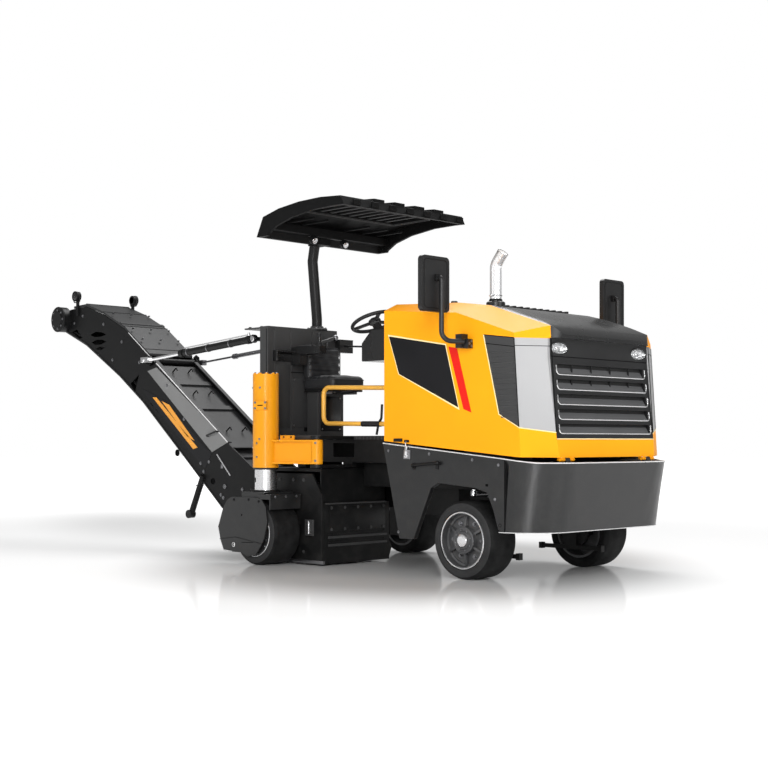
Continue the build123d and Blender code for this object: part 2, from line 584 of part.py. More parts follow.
# ---------------------------------------------------------------- conveyor
with BuildPart() as turntable:
    bar_z(SLEW_X, CONV_Y, 130, 165, 190)
    bar_z(SLEW_X, CONV_Y, 30.1, 160, 225, mode=Mode.SUBTRACT)
    block(SLEW_X - 50, SLEW_X + 50, CONV_Y - 282, CONV_Y + 282, 190, 215)
    bar_z(SLEW_X, CONV_Y, 30.1, 160, 225, mode=Mode.SUBTRACT)
    for s in (-1, 1):
        y0, y1 = sorted((CONV_Y + s * 252, CONV_Y + s * 282))
        block(SLEW_X - 45, SLEW_X + 45, y0, y1, 190, LIFT_Z)
        bar_y(SLEW_X, LIFT_Z, 45, y0, y1)
    bar_y(SLEW_X, LIFT_Z, 20.1, CONV_Y - 300, CONV_Y + 300, mode=Mode.SUBTRACT)
save(turntable, "conveyor_turntable")

with BuildPart() as yoke:
    bar_z(SLEW_X, CONV_Y, 50, 1747, 1817)
    bar_z(SLEW_X, CONV_Y, 20.1, 1740, 1820, mode=Mode.SUBTRACT)
    for s in (-1, 1):
        y0, y1 = sorted((CONV_Y + s * 45, CONV_Y + s * (ARM_Y + 14)))
        bar_y(SLEW_X, ARM_Z, 18, y0, y1)
save(yoke, "lift_yoke")

TOP_EDGE = [(-2270, 640), (-2737, 926), (-3855, 1700), (-4260, 1977), (-4600, 2130), (-4890, 2225), (-5150, 2215), (-5370, 2190)]
LOW_EDGE = [(-5400, 2060), (-4890, 1855), (-4340, 1545), (-3970, 1300), (-2800, 375), (-2270, 375)]
# windows in the side plates: outlines of (x, z)
WINDOWS = [
    [(-4825, 1952), (-4740, 1978), (-4630, 1968), (-4554, 1941), (-4640, 1927), (-4750, 1928)],
    [(-4802, 1880), (-4720, 1902), (-4620, 1896), (-4554, 1876), (-4640, 1853), (-4740, 1853)],
    [(-4733, 1815), (-4660, 1836), (-4576, 1822), (-4650, 1798)],
    [(-4162, 1472), (-4023, 1553), (-4090, 1390)],
    [(-5150, 1996), (-5060, 2020), (-4960, 1935), (-5010, 1925)],
]
with BuildPart() as conv_frame:
    for s in (-1, 1):
        y0, y1 = sorted((CONV_Y + s * CONV_W, CONV_Y + s * (CONV_W - 12)))
        prism_xz([(AX + x, z) for x, z in TOP_EDGE + LOW_EDGE], y0, y1)
    pan = LOW_EDGE + [(x + 3, z + 10) for x, z in reversed(LOW_EDGE)]
    prism_xz([(AX + x, z) for x, z in pan], CONV_Y - CONV_W, CONV_Y + CONV_W)
    bar_y(LUG_X, LUG_Z, 30, CONV_Y - ARM_Y - 10, CONV_Y + ARM_Y + 10)
    bar_y(AX - 5265, 2122, 42, CONV_Y - CONV_W - 5, CONV_Y - CONV_W + 20, mode=Mode.SUBTRACT)
    bar_y(SLEW_X, LIFT_Z, 20, *sorted((CONV_Y - 282, CONV_Y - CONV_W + 12)))
    bar_y(SLEW_X, LIFT_Z, 20, *sorted((CONV_Y + CONV_W - 12, CONV_Y + 282)))
    for outline in WINDOWS:
        prism_xz([(AX + x, z) for x, z in outline], CONV_Y - CONV_W - 20, CONV_Y + CONV_W + 20, mode=Mode.SUBTRACT)
    # row of slots above the lower rail
    for i in range(9):
        t = (i + 0.5) / 9
        x, z = -3869 + 766 * t, 1312 - 543 * t
        with Locations(Location((AX + x, CONV_Y, z), (0, 35.3, 0))):
            Box(52, 2 * CONV_W + 40, 20, mode=Mode.SUBTRACT)
    # two lamp brackets on the head: x, lamp z, side; and the parking prop under the frame
    for x, z, side in ((-5025, 2330, -1), (-4842, 2315, 1)):
        y0, y1 = sorted((CONV_Y + side * CONV_W, CONV_Y + side * (CONV_W + 20)))
        block(AX + x - 14, AX + x + 14, y0, y1, z - 190, z - 20)
        bar_y(AX + x, z, 46, CONV_Y + side * (CONV_W + 20) - 22, CONV_Y + side * (CONV_W + 20) + 22)
    y = CONV_Y - CONV_W - 5
    bar_between((AX - 3070, y, 655), (AX - 3235, y, 330), 26)
    bar_y(AX - 3240, 322, 34, y - 24, y + 24)
save(conv_frame, "conveyor_frame")

with BuildPart() as head:
    bar_y(AX - 5265, 2122, 78, CONV_Y - CONV_W + 16, CONV_Y + CONV_W - 16)
    bar_y(AX - 5265, 2122, 120, CONV_Y - CONV_W - 70, CONV_Y - CONV_W)
    bar_y(AX - 5265, 2122, 40, CONV_Y - CONV_W, CONV_Y - CONV_W + 16)
save(head, "conveyor_head_pulley")

with BuildPart() as cover:
    # upper cover, from the head to just above the cross tube
    line = [(-3870, 1736), (-4260, 2003), (-4600, 2156), (-4890, 2251), (-5110, 2243)]
    low = [(x, z - 22) for x, z in reversed(line)]
    prism_xz([(AX + x, z) for x, z in line + low], CONV_Y - CONV_W, CONV_Y + CONV_W)
    prism_xz([(AX + x, z + 14) for x, z in ((-4300, 2018), (-4340, 2037), (-4340, 2025), (-4300, 2006))], CONV_Y - CONV_W, CONV_Y + CONV_W)
    # lower lids, sunk between the side plates, and the rims along them
    line = [(-2760, 900), (-3180, 1190), (-3810, 1627)]
    low = [(x + 5, z - 10) for x, z in reversed(line)]
    prism_xz([(AX + x, z) for x, z in line + low], CONV_Y - CONV_W + 12, CONV_Y + CONV_W - 12)
    for x, z in ((-3240, 1232), (-3560, 1454)):
        with Locations(Location((AX + x, CONV_Y, z), (0, 34.8, 0))):
            Box(60, 2 * CONV_W - 60, 34)
    for s in (-1, 1):
        y0, y1 = sorted((CONV_Y + s * CONV_W, CONV_Y + s * (CONV_W - 40)))
        line = [(-2737, 932), (-3790, 1661)]
        prism_xz([(AX + x, z) for x, z in line + [(x, z + 12) for x, z in reversed(line)]], y0, y1)
save(cover, "conveyor_cover")

with BuildPart() as belt:
    up = [(-2330, 610), (-2740, 830), (-3870, 1590), (-4270, 1865), (-4610, 2015), (-4890, 2100), (-5180, 2100)]
    down = [(-5180, 2000), (-4870, 1890), (-4320, 1590), (-3950, 1345), (-2780, 420), (-2330, 430)]
    prism_xz([(AX + x, z) for x, z in up + down], CONV_Y - CONV_W + 30, CONV_Y + CONV_W - 30)
    inset_up = [(x - 6, z - 12) for x, z in up]
    inset_down = [(x - 6, z + 12) for x, z in down]
    inset_up[0], inset_up[-1] = (-2342, 596), (-5168, 2088)
    inset_down[0], inset_down[-1] = (-5168, 2014), (-2342, 443)
    prism_xz([(AX + x, z) for x, z in inset_up + inset_down], CONV_Y - CONV_W, CONV_Y + CONV_W, mode=Mode.SUBTRACT)
save(belt, "conveyor_belt")

# lift cylinder (right) and stay (left): side, name, tube radius, rod radius
a, b = Vector(SLEW_X, 0, ARM_Z), Vector(LUG_X, 0, LUG_Z)
along = (b - a).normalized()
for s, name, r_tube, r_rod in ((-1, "lift_cylinder", 30, 15), (1, "stay_tube", 18, 9)):
    y = CONV_Y + s * ARM_Y
    p0, p1 = a + along * 26, a + along * 995
    with BuildPart() as tube:
        bar_between((p0.X, y, p0.Z), (p1.X, y, p1.Z), r_tube)
        bar_between((p0.X + along.X * 60, y, p0.Z + along.Z * 60), (p1.X + along.X, y, p1.Z + along.Z), r_rod + 0.1, mode=Mode.SUBTRACT)
        bar_y(SLEW_X, ARM_Z, 34, y - 14, y + 14)
        bar_y(SLEW_X, ARM_Z, 18.1, y - 60, y + 60, mode=Mode.SUBTRACT)
    save(tube, name)
    q0, q1 = a + along * 620, b - along * 60
    with BuildPart() as rod:
        bar_between((q0.X, y, q0.Z), (q1.X, y, q1.Z), r_rod)
        ry = y + s * 30
        block(q1.X - 20, q1.X + 20, *sorted((y - s * 10, ry + s * 6)), q1.Z - 24, q1.Z + 24)
        block(LUG_X - 30, q1.X + 20, *sorted((y + s * 16, ry + s * 6)), q1.Z - 24, q1.Z + 24)
    save(rod, "lift_rod" if s < 0 else "stay_rod")
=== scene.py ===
"""Looks of the wheeled cold planer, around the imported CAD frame. Metres, +X forward, +Y left, +Z up."""
import bpy, bmesh, json, math, random
from mathutils import Vector, Matrix, Euler


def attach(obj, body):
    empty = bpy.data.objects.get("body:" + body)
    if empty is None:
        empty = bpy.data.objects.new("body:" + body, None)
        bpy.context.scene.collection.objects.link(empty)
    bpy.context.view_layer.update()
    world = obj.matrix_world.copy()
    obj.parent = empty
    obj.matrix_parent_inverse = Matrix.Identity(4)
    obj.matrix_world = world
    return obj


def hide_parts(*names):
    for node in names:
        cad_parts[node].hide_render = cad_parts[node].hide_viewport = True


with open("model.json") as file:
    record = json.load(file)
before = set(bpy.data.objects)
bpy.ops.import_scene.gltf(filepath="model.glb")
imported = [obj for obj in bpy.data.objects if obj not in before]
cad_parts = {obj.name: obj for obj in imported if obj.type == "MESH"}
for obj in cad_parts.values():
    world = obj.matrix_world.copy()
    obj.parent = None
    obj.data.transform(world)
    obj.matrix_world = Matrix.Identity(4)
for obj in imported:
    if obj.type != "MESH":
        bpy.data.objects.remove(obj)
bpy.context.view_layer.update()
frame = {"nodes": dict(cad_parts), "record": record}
AX = 2.33                       # front axle in the row frame
random.seed(7)
scene = bpy.context.scene


# ------------------------------------------------------------------ materials
def nodes_of(name):
    m = bpy.data.materials.new(name)
    m.use_nodes = True
    nt = m.node_tree
    bsdf = nt.nodes.get("Principled BSDF")
    return m, nt, nt.nodes, nt.links, bsdf


def noise(nt, scale, detail=4.0, rough=0.6, coord="Object", stretch=None):
    tc = nt.nodes.new("ShaderNodeTexCoord")
    n = nt.nodes.new("ShaderNodeTexNoise")
    n.inputs["Scale"].default_value = scale
    n.inputs["Detail"].default_value = detail
    n.inputs["Roughness"].default_value = rough
    if stretch:
        mp = nt.nodes.new("ShaderNodeMapping")
        mp.inputs["Scale"].default_value = stretch
        nt.links.new(tc.outputs[coord], mp.inputs["Vector"])
        nt.links.new(mp.outputs["Vector"], n.inputs["Vector"])
    else:
        nt.links.new(tc.outputs[coord], n.inputs["Vector"])
    return n


def ramp(nt, src, stops):
    r = nt.nodes.new("ShaderNodeValToRGB")
    els = r.color_ramp.elements
    while len(els) < len(stops):
        els.new(0.5)
    for e, (p, c) in zip(els, stops):
        e.position = p
        e.color = (*c, 1.0) if len(c) == 3 else c
    nt.links.new(src, r.inputs["Fac"])
    return r


def bump_on(nt, b, src, strength, distance, normal=None):
    bp = nt.nodes.new("ShaderNodeBump")
    bp.inputs["Strength"].default_value = strength
    bp.inputs["Distance"].default_value = distance
    nt.links.new(src, bp.inputs["Height"])
    if normal:
        nt.links.new(normal, bp.inputs["Normal"])
    nt.links.new(bp.outputs["Normal"], b.inputs["Normal"])
    return bp


def paint(name, color, rough=0.35, coat=0.4, peel=0.02, dust=(0.42, 0.40, 0.37), dust_amount=0.10, metallic=0.0, spec=0.5, mottled=0.06, coat_rough=0.12):
    """Machine paint: slight tone drift, fine orange peel, dust towards the ground."""
    m, nt, N, L, b = nodes_of(name)
    big = noise(nt, 1.7, 3, 0.5)
    c0 = tuple(max(0, c * (1 - mottled)) for c in color)
    c1 = tuple(min(1, c * (1 + mottled)) for c in color)
    base = ramp(nt, big.outputs["Fac"], [(0.3, c0), (0.7, c1)])
    # dust: a patchy film that thickens low on the machine
    tc = N.new("ShaderNodeTexCoord")
    sep = N.new("ShaderNodeSeparateXYZ")
    L.new(tc.outputs["Object"], sep.inputs[0])
    low = N.new("ShaderNodeMapRange")
    low.inputs["From Min"].default_value = 0.0
    low.inputs["From Max"].default_value = 1.1
    low.inputs["To Min"].default_value = 1.0
    low.inputs["To Max"].default_value = 0.2
    L.new(sep.outputs["Z"], low.inputs["Value"])
    patch = noise(nt, 9.0, 7, 0.65)
    pr = ramp(nt, patch.outputs["Fac"], [(0.45, (0, 0, 0)), (0.8, (1, 1, 1))])
    mul = N.new("ShaderNodeMath"); mul.operation = "MULTIPLY"
    L.new(pr.outputs["Color"], mul.inputs[0]); L.new(low.outputs["Result"], mul.inputs[1])
    amt = N.new("ShaderNodeMath"); amt.operation = "MULTIPLY"; amt.inputs[1].default_value = dust_amount
    L.new(mul.outputs[0], amt.inputs[0])
    mix = N.new("ShaderNodeMixRGB")
    mix.inputs["Color2"].default_value = (*dust, 1)
    L.new(amt.outputs[0], mix.inputs["Fac"]); L.new(base.outputs["Color"], mix.inputs["Color1"])
    L.new(mix.outputs["Color"], b.inputs["Base Color"])
    b.inputs["Metallic"].default_value = metallic
    b.inputs["Coat Weight"].default_value = coat
    b.inputs["Coat Roughness"].default_value = coat_rough
    b.inputs["Specular IOR Level"].default_value = spec
    rr = N.new("ShaderNodeMapRange")
    rr.inputs["To Min"].default_value = rough
    rr.inputs["To Max"].default_value = min(1.0, rough + 0.25)
    L.new(mul.outputs[0], rr.inputs["Value"])
    L.new(rr.outputs["Result"], b.inputs["Roughness"])
    fine = noise(nt, 380.0, 2, 0.5)
    bump_on(nt, b, fine.outputs["Fac"], peel, 0.002)
    return m


def plastic(name, color, rough=0.5, grain=0.25, scale=900.0, mottled=0.1, spec=0.3):
    """Moulded plastic with a fine leather-like grain."""
    m, nt, N, L, b = nodes_of(name)
    big = noise(nt, 3.0, 4, 0.5)
    base = ramp(nt, big.outputs["Fac"], [(0.3, tuple(c * (1 - mottled) for c in color)), (0.7, tuple(min(1, c * (1 + mottled)) for c in color))])
    L.new(base.outputs["Color"], b.inputs["Base Color"])
    b.inputs["Specular IOR Level"].default_value = spec
    fine = noise(nt, scale, 2, 0.5)
    rr = ramp(nt, big.outputs["Fac"], [(0.3, (rough - 0.05,) * 3), (0.7, (rough + 0.07,) * 3)])
    L.new(rr.outputs["Color"], b.inputs["Roughness"])
    bump_on(nt, b, fine.outputs["Fac"], grain, 0.0006)
    return m


def metal(name, color, rough=0.25, streak=(1, 1, 1), scale=60.0, amount=0.12):
    m, nt, N, L, b = nodes_of(name)
    b.inputs["Metallic"].default_value = 1.0
    n = noise(nt, scale, 5, 0.6, stretch=streak)
    base = ramp(nt, n.outputs["Fac"], [(0.3, tuple(c * (1 - amount) for c in color)), (0.7, color)])
    L.new(base.outputs["Color"], b.inputs["Base Color"])
    rr = ramp(nt, n.outputs["Fac"], [(0.3, (max(0.02, rough - 0.06),) * 3), (0.7, (rough + 0.08,) * 3)])
    L.new(rr.outputs["Color"], b.inputs["Roughness"])
    return m


def rubber(name, color, rough=0.75, dusty=0.10, spec=0.25):
    m, nt, N, L, b = nodes_of(name)
    big = noise(nt, 7.0, 6, 0.65)
    base = ramp(nt, big.outputs["Fac"], [(0.35, color), (0.8, tuple(c + dusty * (0.32 - c) for c in color))])
    L.new(base.outputs["Color"], b.inputs["Base Color"])
    b.inputs["Roughness"].default_value = rough
    b.inputs["Specular IOR Level"].default_value = spec
    fine = noise(nt, 160.0, 5, 0.7)
    bump_on(nt, b, fine.outputs["Fac"], 0.25, 0.002)
    return m


def chequer(name, color):
    """Steel tread plate: raised lozenges in two crossing directions, rubbed bright on their tops."""
    m, nt, N, L, b = nodes_of(name)
    tc = N.new("ShaderNodeTexCoord")
    heights = []
    for turn in (45, -45):
        mp = N.new("ShaderNodeMapping")
        mp.inputs["Rotation"].default_value = (0, 0, math.radians(turn))
        mp.inputs["Scale"].default_value = (36, 14, 1)
        L.new(tc.outputs["Object"], mp.inputs["Vector"])
        v = N.new("ShaderNodeTexVoronoi")
        v.feature = "F1"
        v.inputs["Scale"].default_value = 1.0
        v.inputs["Randomness"].default_value = 0.0
        L.new(mp.outputs["Vector"], v.inputs["Vector"])
        r = ramp(nt, v.outputs["Distance"], [(0.22, (1, 1, 1)), (0.34, (0, 0, 0))])
        heights.append(r)
    mx = N.new("ShaderNodeMath"); mx.operation = "MAXIMUM"
    L.new(heights[0].outputs["Color"], mx.inputs[0]); L.new(heights[1].outputs["Color"], mx.inputs[1])
    big = noise(nt, 4.0, 6, 0.6)
    dirt = ramp(nt, big.outputs["Fac"], [(0.35, color), (0.75, tuple(c * 1.7 + 0.01 for c in color))])
    mix = N.new("ShaderNodeMixRGB")
    mix.inputs["Color2"].default_value = (0.16, 0.16, 0.165, 1)
    f = N.new("ShaderNodeMath"); f.operation = "MULTIPLY"; f.inputs[1].default_value = 0.5
    L.new(mx.outputs[0], f.inputs[0]); L.new(f.outputs[0], mix.inputs["Fac"])
    L.new(dirt.outputs["Color"], mix.inputs["Color1"])
    L.new(mix.outputs["Color"], b.inputs["Base Color"])
    b.inputs["Roughness"].default_value = 0.5
    b.inputs["Specular IOR Level"].default_value = 0.3
    bump_on(nt, b, mx.outputs[0], 0.7, 0.003)
    return m


def mesh_screen(name, color):
    """Black screen with fine round perforations in staggered rows; the perforations are near-black dots, painted shade
    for the holes.
    """
    m, nt, N, L, b = nodes_of(name)
    tc = N.new("ShaderNodeTexCoord")
    mp = N.new("ShaderNodeMapping")
    mp.inputs["Rotation"].default_value = (0, 0, 0)
    L.new(tc.outputs["Object"], mp.inputs["Vector"])
    v = N.new("ShaderNodeTexVoronoi"); v.inputs["Scale"].default_value = 110; v.inputs["Randomness"].default_value = 0.0
    L.new(mp.outputs["Vector"], v.inputs["Vector"])
    r = ramp(nt, v.outputs["Distance"], [(0.30, (0.002, 0.002, 0.002)), (0.42, color)])
    L.new(r.outputs["Color"], b.inputs["Base Color"])
    b.inputs["Roughness"].default_value = 0.6
    b.inputs["Specular IOR Level"].default_value = 0.15
    bump_on(nt, b, v.outputs["Distance"], 0.3, 0.001)
    return m


M = {
    "yellow": paint("hood_yellow", (0.90, 0.345, 0.006), rough=0.42, coat=0.02, peel=0.03, dust_amount=0.0, mottled=0.03, spec=0.10),
    "leg_yellow": paint("leg_yellow", (0.77, 0.305, 0.006), rough=0.36, coat=0.12, peel=0.05, dust_amount=0.03, mottled=0.05, spec=0.2),
    "rail_yellow": paint("rail_yellow", (0.80, 0.42, 0.06), rough=0.38, coat=0.30, peel=0.04, dust_amount=0.05, mottled=0.08, spec=0.35),
    "grey": paint("skirt_grey", (0.0110, 0.0112, 0.0116), rough=0.29, coat=0.0, peel=0.05, dust_amount=0.04, spec=0.42),
    "black": paint("frame_black", (0.0050, 0.0051, 0.0053), rough=0.40, coat=0.0, peel=0.10, dust_amount=0.04, spec=0.22),
    # mid black for the tower, housing and pedestal: partly their own tone, partly raised to brighten parts that stand
    # in shade, painted fill light
    "black_mid": paint("mid_black_with_painted_fill", (0.034, 0.0343, 0.0348), rough=0.42, coat=0.0, peel=0.08, dust_amount=0.04, spec=0.35),
    "silver": paint("corner_silver", (0.35, 0.35, 0.355), rough=0.38, coat=0.20, peel=0.02, metallic=0.15, dust_amount=0.02, mottled=0.03),
    "conveyor": paint("conveyor_grey", (0.0045, 0.0046, 0.0049), rough=0.44, coat=0.0, peel=0.06, dust_amount=0.03, spec=0.18),
    "conveyor_light": paint("conveyor_cover_grey", (0.024, 0.0244, 0.0252), rough=0.46, coat=0.0, peel=0.05, dust_amount=0.04, spec=0.25),
    "band_grey": paint("conveyor_band_grey", (0.185, 0.186, 0.185), rough=0.40, coat=0.10, peel=0.03, dust_amount=0.04, spec=0.4),
    "rim": paint("rim_grey", (0.065, 0.066, 0.069), rough=0.42, coat=0.0, peel=0.12, dust_amount=0.18, spec=0.5, metallic=0.3),
    "cast": paint("cast_steel", (0.055, 0.050, 0.046), rough=0.6, coat=0.0, peel=0.5, dust_amount=0.25, metallic=0.4),
    "engine_paint": paint("engine_paint", (0.050, 0.055, 0.062), rough=0.5, coat=0.0, peel=0.3, dust_amount=0.12),
    "plastic": plastic("black_plastic", (0.0085, 0.0086, 0.0090), rough=0.36, spec=0.38),
    "plastic_top": plastic("hood_top_plastic", (0.0090, 0.0091, 0.0094), rough=0.26, grain=0.05, spec=0.44),
    "plastic_vent": plastic("vent_plastic", (0.0320, 0.0322, 0.0327), rough=0.40, grain=0.05, spec=0.40),
    "plastic_matt": plastic("matt_plastic", (0.0060, 0.0061, 0.0064), rough=0.6, grain=0.4, spec=0.2),
    "canopy": plastic("canopy_plastic", (0.0045, 0.0046, 0.0047), rough=0.55, grain=0.10, scale=500, spec=0.09),
    # near-black: painted shade in seams, grooves, slots and holes, and the colour of a few small black parts
    "inner_black": plastic("deep_black", (0.0025, 0.0025, 0.0027), rough=0.75, grain=0.2, spec=0.08),
    "vinyl": plastic("seat_vinyl", (0.016, 0.0165, 0.018), rough=0.46, grain=0.5, scale=420.0, spec=0.35),
    "piping": plastic("seat_piping", (0.030, 0.030, 0.032), rough=0.5, grain=0.3, scale=600.0),
    "tyre": rubber("solid_tyre", (0.0045, 0.0046, 0.0048), dusty=0.05, spec=0.14),
    "belt": rubber("belt_rubber", (0.010, 0.010, 0.011), rough=0.65, dusty=0.15),
    "grip": rubber("grip_rubber", (0.008, 0.008, 0.009), rough=0.55, dusty=0.03, spec=0.35),
    "hose": rubber("hose_rubber", (0.006, 0.006, 0.0065), rough=0.45, dusty=0.04, spec=0.35),
    "chrome": metal("chrome", (0.92, 0.92, 0.93), rough=0.12, scale=20, amount=0.04),
    "steel": metal("bright_steel", (0.74, 0.74, 0.75), rough=0.26, streak=(1, 1, 12), scale=60),
    "dark_steel": metal("dark_steel", (0.24, 0.24, 0.25), rough=0.38, scale=80),
    "lip": metal("grille_lip", (0.80, 0.80, 0.81), rough=0.20, scale=40, amount=0.06),
    "carbide": metal("carbide", (0.35, 0.34, 0.33), rough=0.3, scale=120),
    "red": paint("stripe_red", (0.66, 0.012, 0.006), rough=0.45, coat=0.0, peel=0.01, dust_amount=0.0, mottled=0.03, spec=0.15),
    "decal_black": plastic("decal_black", (0.0065, 0.0065, 0.0078), rough=0.32, grain=0.02, spec=0.18),
    "decal_orange": paint("decal_orange", (0.80, 0.33, 0.03), rough=0.4, coat=0.1, peel=0.01, dust_amount=0.04, mottled=0.06),
    # cream: painted highlight lines along the hood's edges; also the print of the decal outline and the oil filter's
    # own colour
    "cream": paint("cream_line", (0.93, 0.74, 0.38), rough=0.4, coat=0.2, peel=0.01, dust_amount=0.01, mottled=0.02),
    # bright grey: painted highlight lines along edges of the skirts, wheel guard and conveyor; also the colour of some
    # console switches
    "edge": paint("bright_edge", (0.62, 0.62, 0.62), rough=0.35, coat=0.3, peel=0.01, dust_amount=0.05, mottled=0.05),
    "tread": chequer("tread_plate", (0.012, 0.012, 0.0125)),
    "screen": mesh_screen("radiator_screen", (0.012, 0.012, 0.012)),
}
glass, nt, N, L, b = nodes_of("lamp_glass")
b.inputs["Base Color"].default_value = (0.95, 0.97, 0.98, 1)
b.inputs["Roughness"].default_value = 0.04
b.inputs["Alpha"].default_value = 0.16
ripple = noise(nt, 40.0, 2, 0.5)
bump_on(nt, b, ripple.outputs["Fac"], 0.05, 0.001)
M["glass"] = glass
mir, nt, N, L, b = nodes_of("mirror_glass")
b.inputs["Metallic"].default_value = 1.0
b.inputs["Roughness"].default_value = 0.03
sm = noise(nt, 5.0, 3, 0.5)
rm = ramp(nt, sm.outputs["Fac"], [(0.3, (0.78, 0.80, 0.82)), (0.7, (0.86, 0.87, 0.88))])
L.new(rm.outputs["Color"], b.inputs["Base Color"])
M["mirror"] = mir
refl, nt, N, L, b = nodes_of("lamp_reflector")
b.inputs["Metallic"].default_value = 0.85
b.inputs["Roughness"].default_value = 0.14
fl = N.new("ShaderNodeTexVoronoi"); fl.inputs["Scale"].default_value = 55.0
tcf = N.new("ShaderNodeTexCoord"); L.new(tcf.outputs["Object"], fl.inputs["Vector"])
rf = ramp(nt, fl.outputs["Distance"], [(0.1, (0.80, 0.80, 0.80)), (0.6, (0.34, 0.34, 0.35))])
L.new(rf.outputs["Color"], b.inputs["Base Color"])
bump_on(nt, b, fl.outputs["Distance"], 0.35, 0.004)
M["reflector"] = refl
exh, nt, N, L, b = nodes_of("exhaust_bright")
b.inputs["Metallic"].default_value = 0.55
b.inputs["Roughness"].default_value = 0.24
heat = N.new("ShaderNodeTexCoord"); sp = N.new("ShaderNodeSeparateXYZ"); L.new(heat.outputs["Object"], sp.inputs[0])
mr = N.new("ShaderNodeMapRange"); mr.inputs["From Min"].default_value = 2.20; mr.inputs["From Max"].default_value = 2.31
L.new(sp.outputs["Z"], mr.inputs["Value"])
hr = ramp(nt, mr.outputs["Result"], [(0.0, (0.74, 0.74, 0.75)), (0.8, (0.66, 0.65, 0.64)), (1.0, (0.35, 0.33, 0.31))])
L.new(hr.outputs["Color"], b.inputs["Base Color"])
hn = noise(nt, 90.0, 3, 0.5); bump_on(nt, b, hn.outputs["Fac"], 0.03, 0.001)
M["exhaust"] = exh

NODE_MAT = {
    "hood_paint": "yellow", "leg_paint": "leg_yellow", "dark_grey": "grey", "black_paint": "black", "black_plastic": "plastic",
    "silver_paint": "silver", "conveyor_grey": "conveyor", "tyre": "tyre", "rim": "rim", "chrome": "chrome",
    "machined_steel": "steel", "cast": "cast", "belt": "belt", "seat_vinyl": "vinyl", "lamp_glass": "glass",
}
OWN_MAT = {"hood_top": "plastic_top", "right_leg_strut": "steel", "canopy_roof": "canopy", "exhaust_pipe": "exhaust", "handrail": "rail_yellow", "platform_deck": "tread",
           "engine_block": "engine_paint", "left_leg": "black", "stay_tube": "dark_steel", "stay_rod": "dark_steel", "conveyor_cover": "conveyor_light", "rear_tower": "black_mid", "right_wheel_fork": "grey",
           "drum_housing": "black", "steering_console": "plastic_top", "seat_pedestal": "black_mid", "armrest_controls": "plastic_top",
           "mirrors": "plastic", "hood_side_vents": "plastic_vent", "radiator": "plastic_matt"}
SLOT = {v: k for k, v in NODE_MAT.items()}
SLOT.update({"plastic_top": "black_plastic", "plastic_vent": "black_plastic", "plastic_matt": "black_plastic", "inner_black": "black_plastic", "canopy": "black_plastic", "piping": "seat_vinyl",
             "black_mid": "black_paint", "rail_yellow": "leg_paint", "conveyor_light": "conveyor_grey", "band_grey": "conveyor_grey", "edge": "conveyor_grey",
             "grip": "black_plastic", "hose": "black_plastic", "dark_steel": "machined_steel", "lip": "chrome", "carbide": "machined_steel",
             "engine_paint": "cast", "decal_black": "black_plastic", "tread": "black_paint", "screen": "black_plastic", "mirror": "chrome",
             "reflector": "chrome", "exhaust": "chrome", "glass": "lamp_glass"})

# smooth shading with creases kept, as a small node group put on every CAD node
grp = bpy.data.node_groups.new("crease", "GeometryNodeTree")
grp.interface.new_socket("Geometry", in_out="INPUT", socket_type="NodeSocketGeometry")
grp.interface.new_socket("Geometry", in_out="OUTPUT", socket_type="NodeSocketGeometry")
gi, go = grp.nodes.new("NodeGroupInput"), grp.nodes.new("NodeGroupOutput")
sa = grp.nodes.new("GeometryNodeSetShadeSmooth")
sb = grp.nodes.new("GeometryNodeSetShadeSmooth"); sb.domain = "EDGE"; sb.inputs["Shade Smooth"].default_value = False
ea = grp.nodes.new("GeometryNodeInputMeshEdgeAngle")
cmp_ = grp.nodes.new("FunctionNodeCompare"); cmp_.data_type = "FLOAT"; cmp_.operation = "GREATER_THAN"
cmp_.inputs["B"].default_value = math.radians(28)
grp.links.new(gi.outputs[0], sa.inputs["Geometry"]); grp.links.new(sa.outputs[0], sb.inputs["Geometry"])
grp.links.new(ea.outputs["Unsigned Angle"], cmp_.inputs["A"]); grp.links.new(cmp_.outputs["Result"], sb.inputs["Selection"])
grp.links.new(sb.outputs[0], go.inputs[0])

slot_of = {s["node"]: s["material_slot"] for s in frame["record"]["subparts"]}
BEVEL = {"front_skirt": 0.010, "side_skirts": 0.006, "hood_shell": 0.012, "hood_corner_panels": 0.006, "hood_side_vents": 0.005, "hood_top": 0.012,
         "mirrors": 0.008, "canopy_roof": 0.008, "right_leg_housing": 0.003, "milling_drum": 0.003, "conveyor_frame": 0.002, "conveyor_cover": 0.003}
for name, o in frame["nodes"].items():
    o.data.materials.clear()
    o.data.materials.append(M[OWN_MAT.get(name, NODE_MAT[slot_of[name]])])
    w = o.modifiers.new("weld", "WELD"); w.merge_threshold = 0.0001
    bv = o.modifiers.new("bevel", "BEVEL")
    bv.width = BEVEL.get(name, 0.004); bv.segments = 2; bv.limit_method = "ANGLE"; bv.angle_limit = math.radians(38)
    bv.harden_normals = False
    gm = o.modifiers.new("crease", "NODES"); gm.node_group = grp
    wt = o.modifiers.new("weighted", "WEIGHTED_NORMAL"); wt.keep_sharp = True


# ------------------------------------------------------------------ mesh helpers
def place(name, me, mat, body, bevel=0.0, segs=2, smooth=True, limit=32):
    me.materials.append(M[mat])
    bm = bmesh.new(); bm.from_mesh(me)
    bmesh.ops.recalc_face_normals(bm, faces=bm.faces)
    bm.to_mesh(me); bm.free()
    o = bpy.data.objects.new(name, me)
    scene.collection.objects.link(o)
    if bevel:
        bv = o.modifiers.new("bevel", "BEVEL"); bv.width = bevel; bv.segments = segs
        bv.limit_method = "ANGLE"; bv.angle_limit = math.radians(38)
    if smooth:
        gm = o.modifiers.new("crease", "NODES"); gm.node_group = grp
    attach(o, body)
    return o


def raw(name, verts, faces, mat, body, **kw):
    me = bpy.data.meshes.new(name)
    me.from_pydata([tuple(v) for v in verts], [], faces)
    return place(name, me, mat, body, **kw)


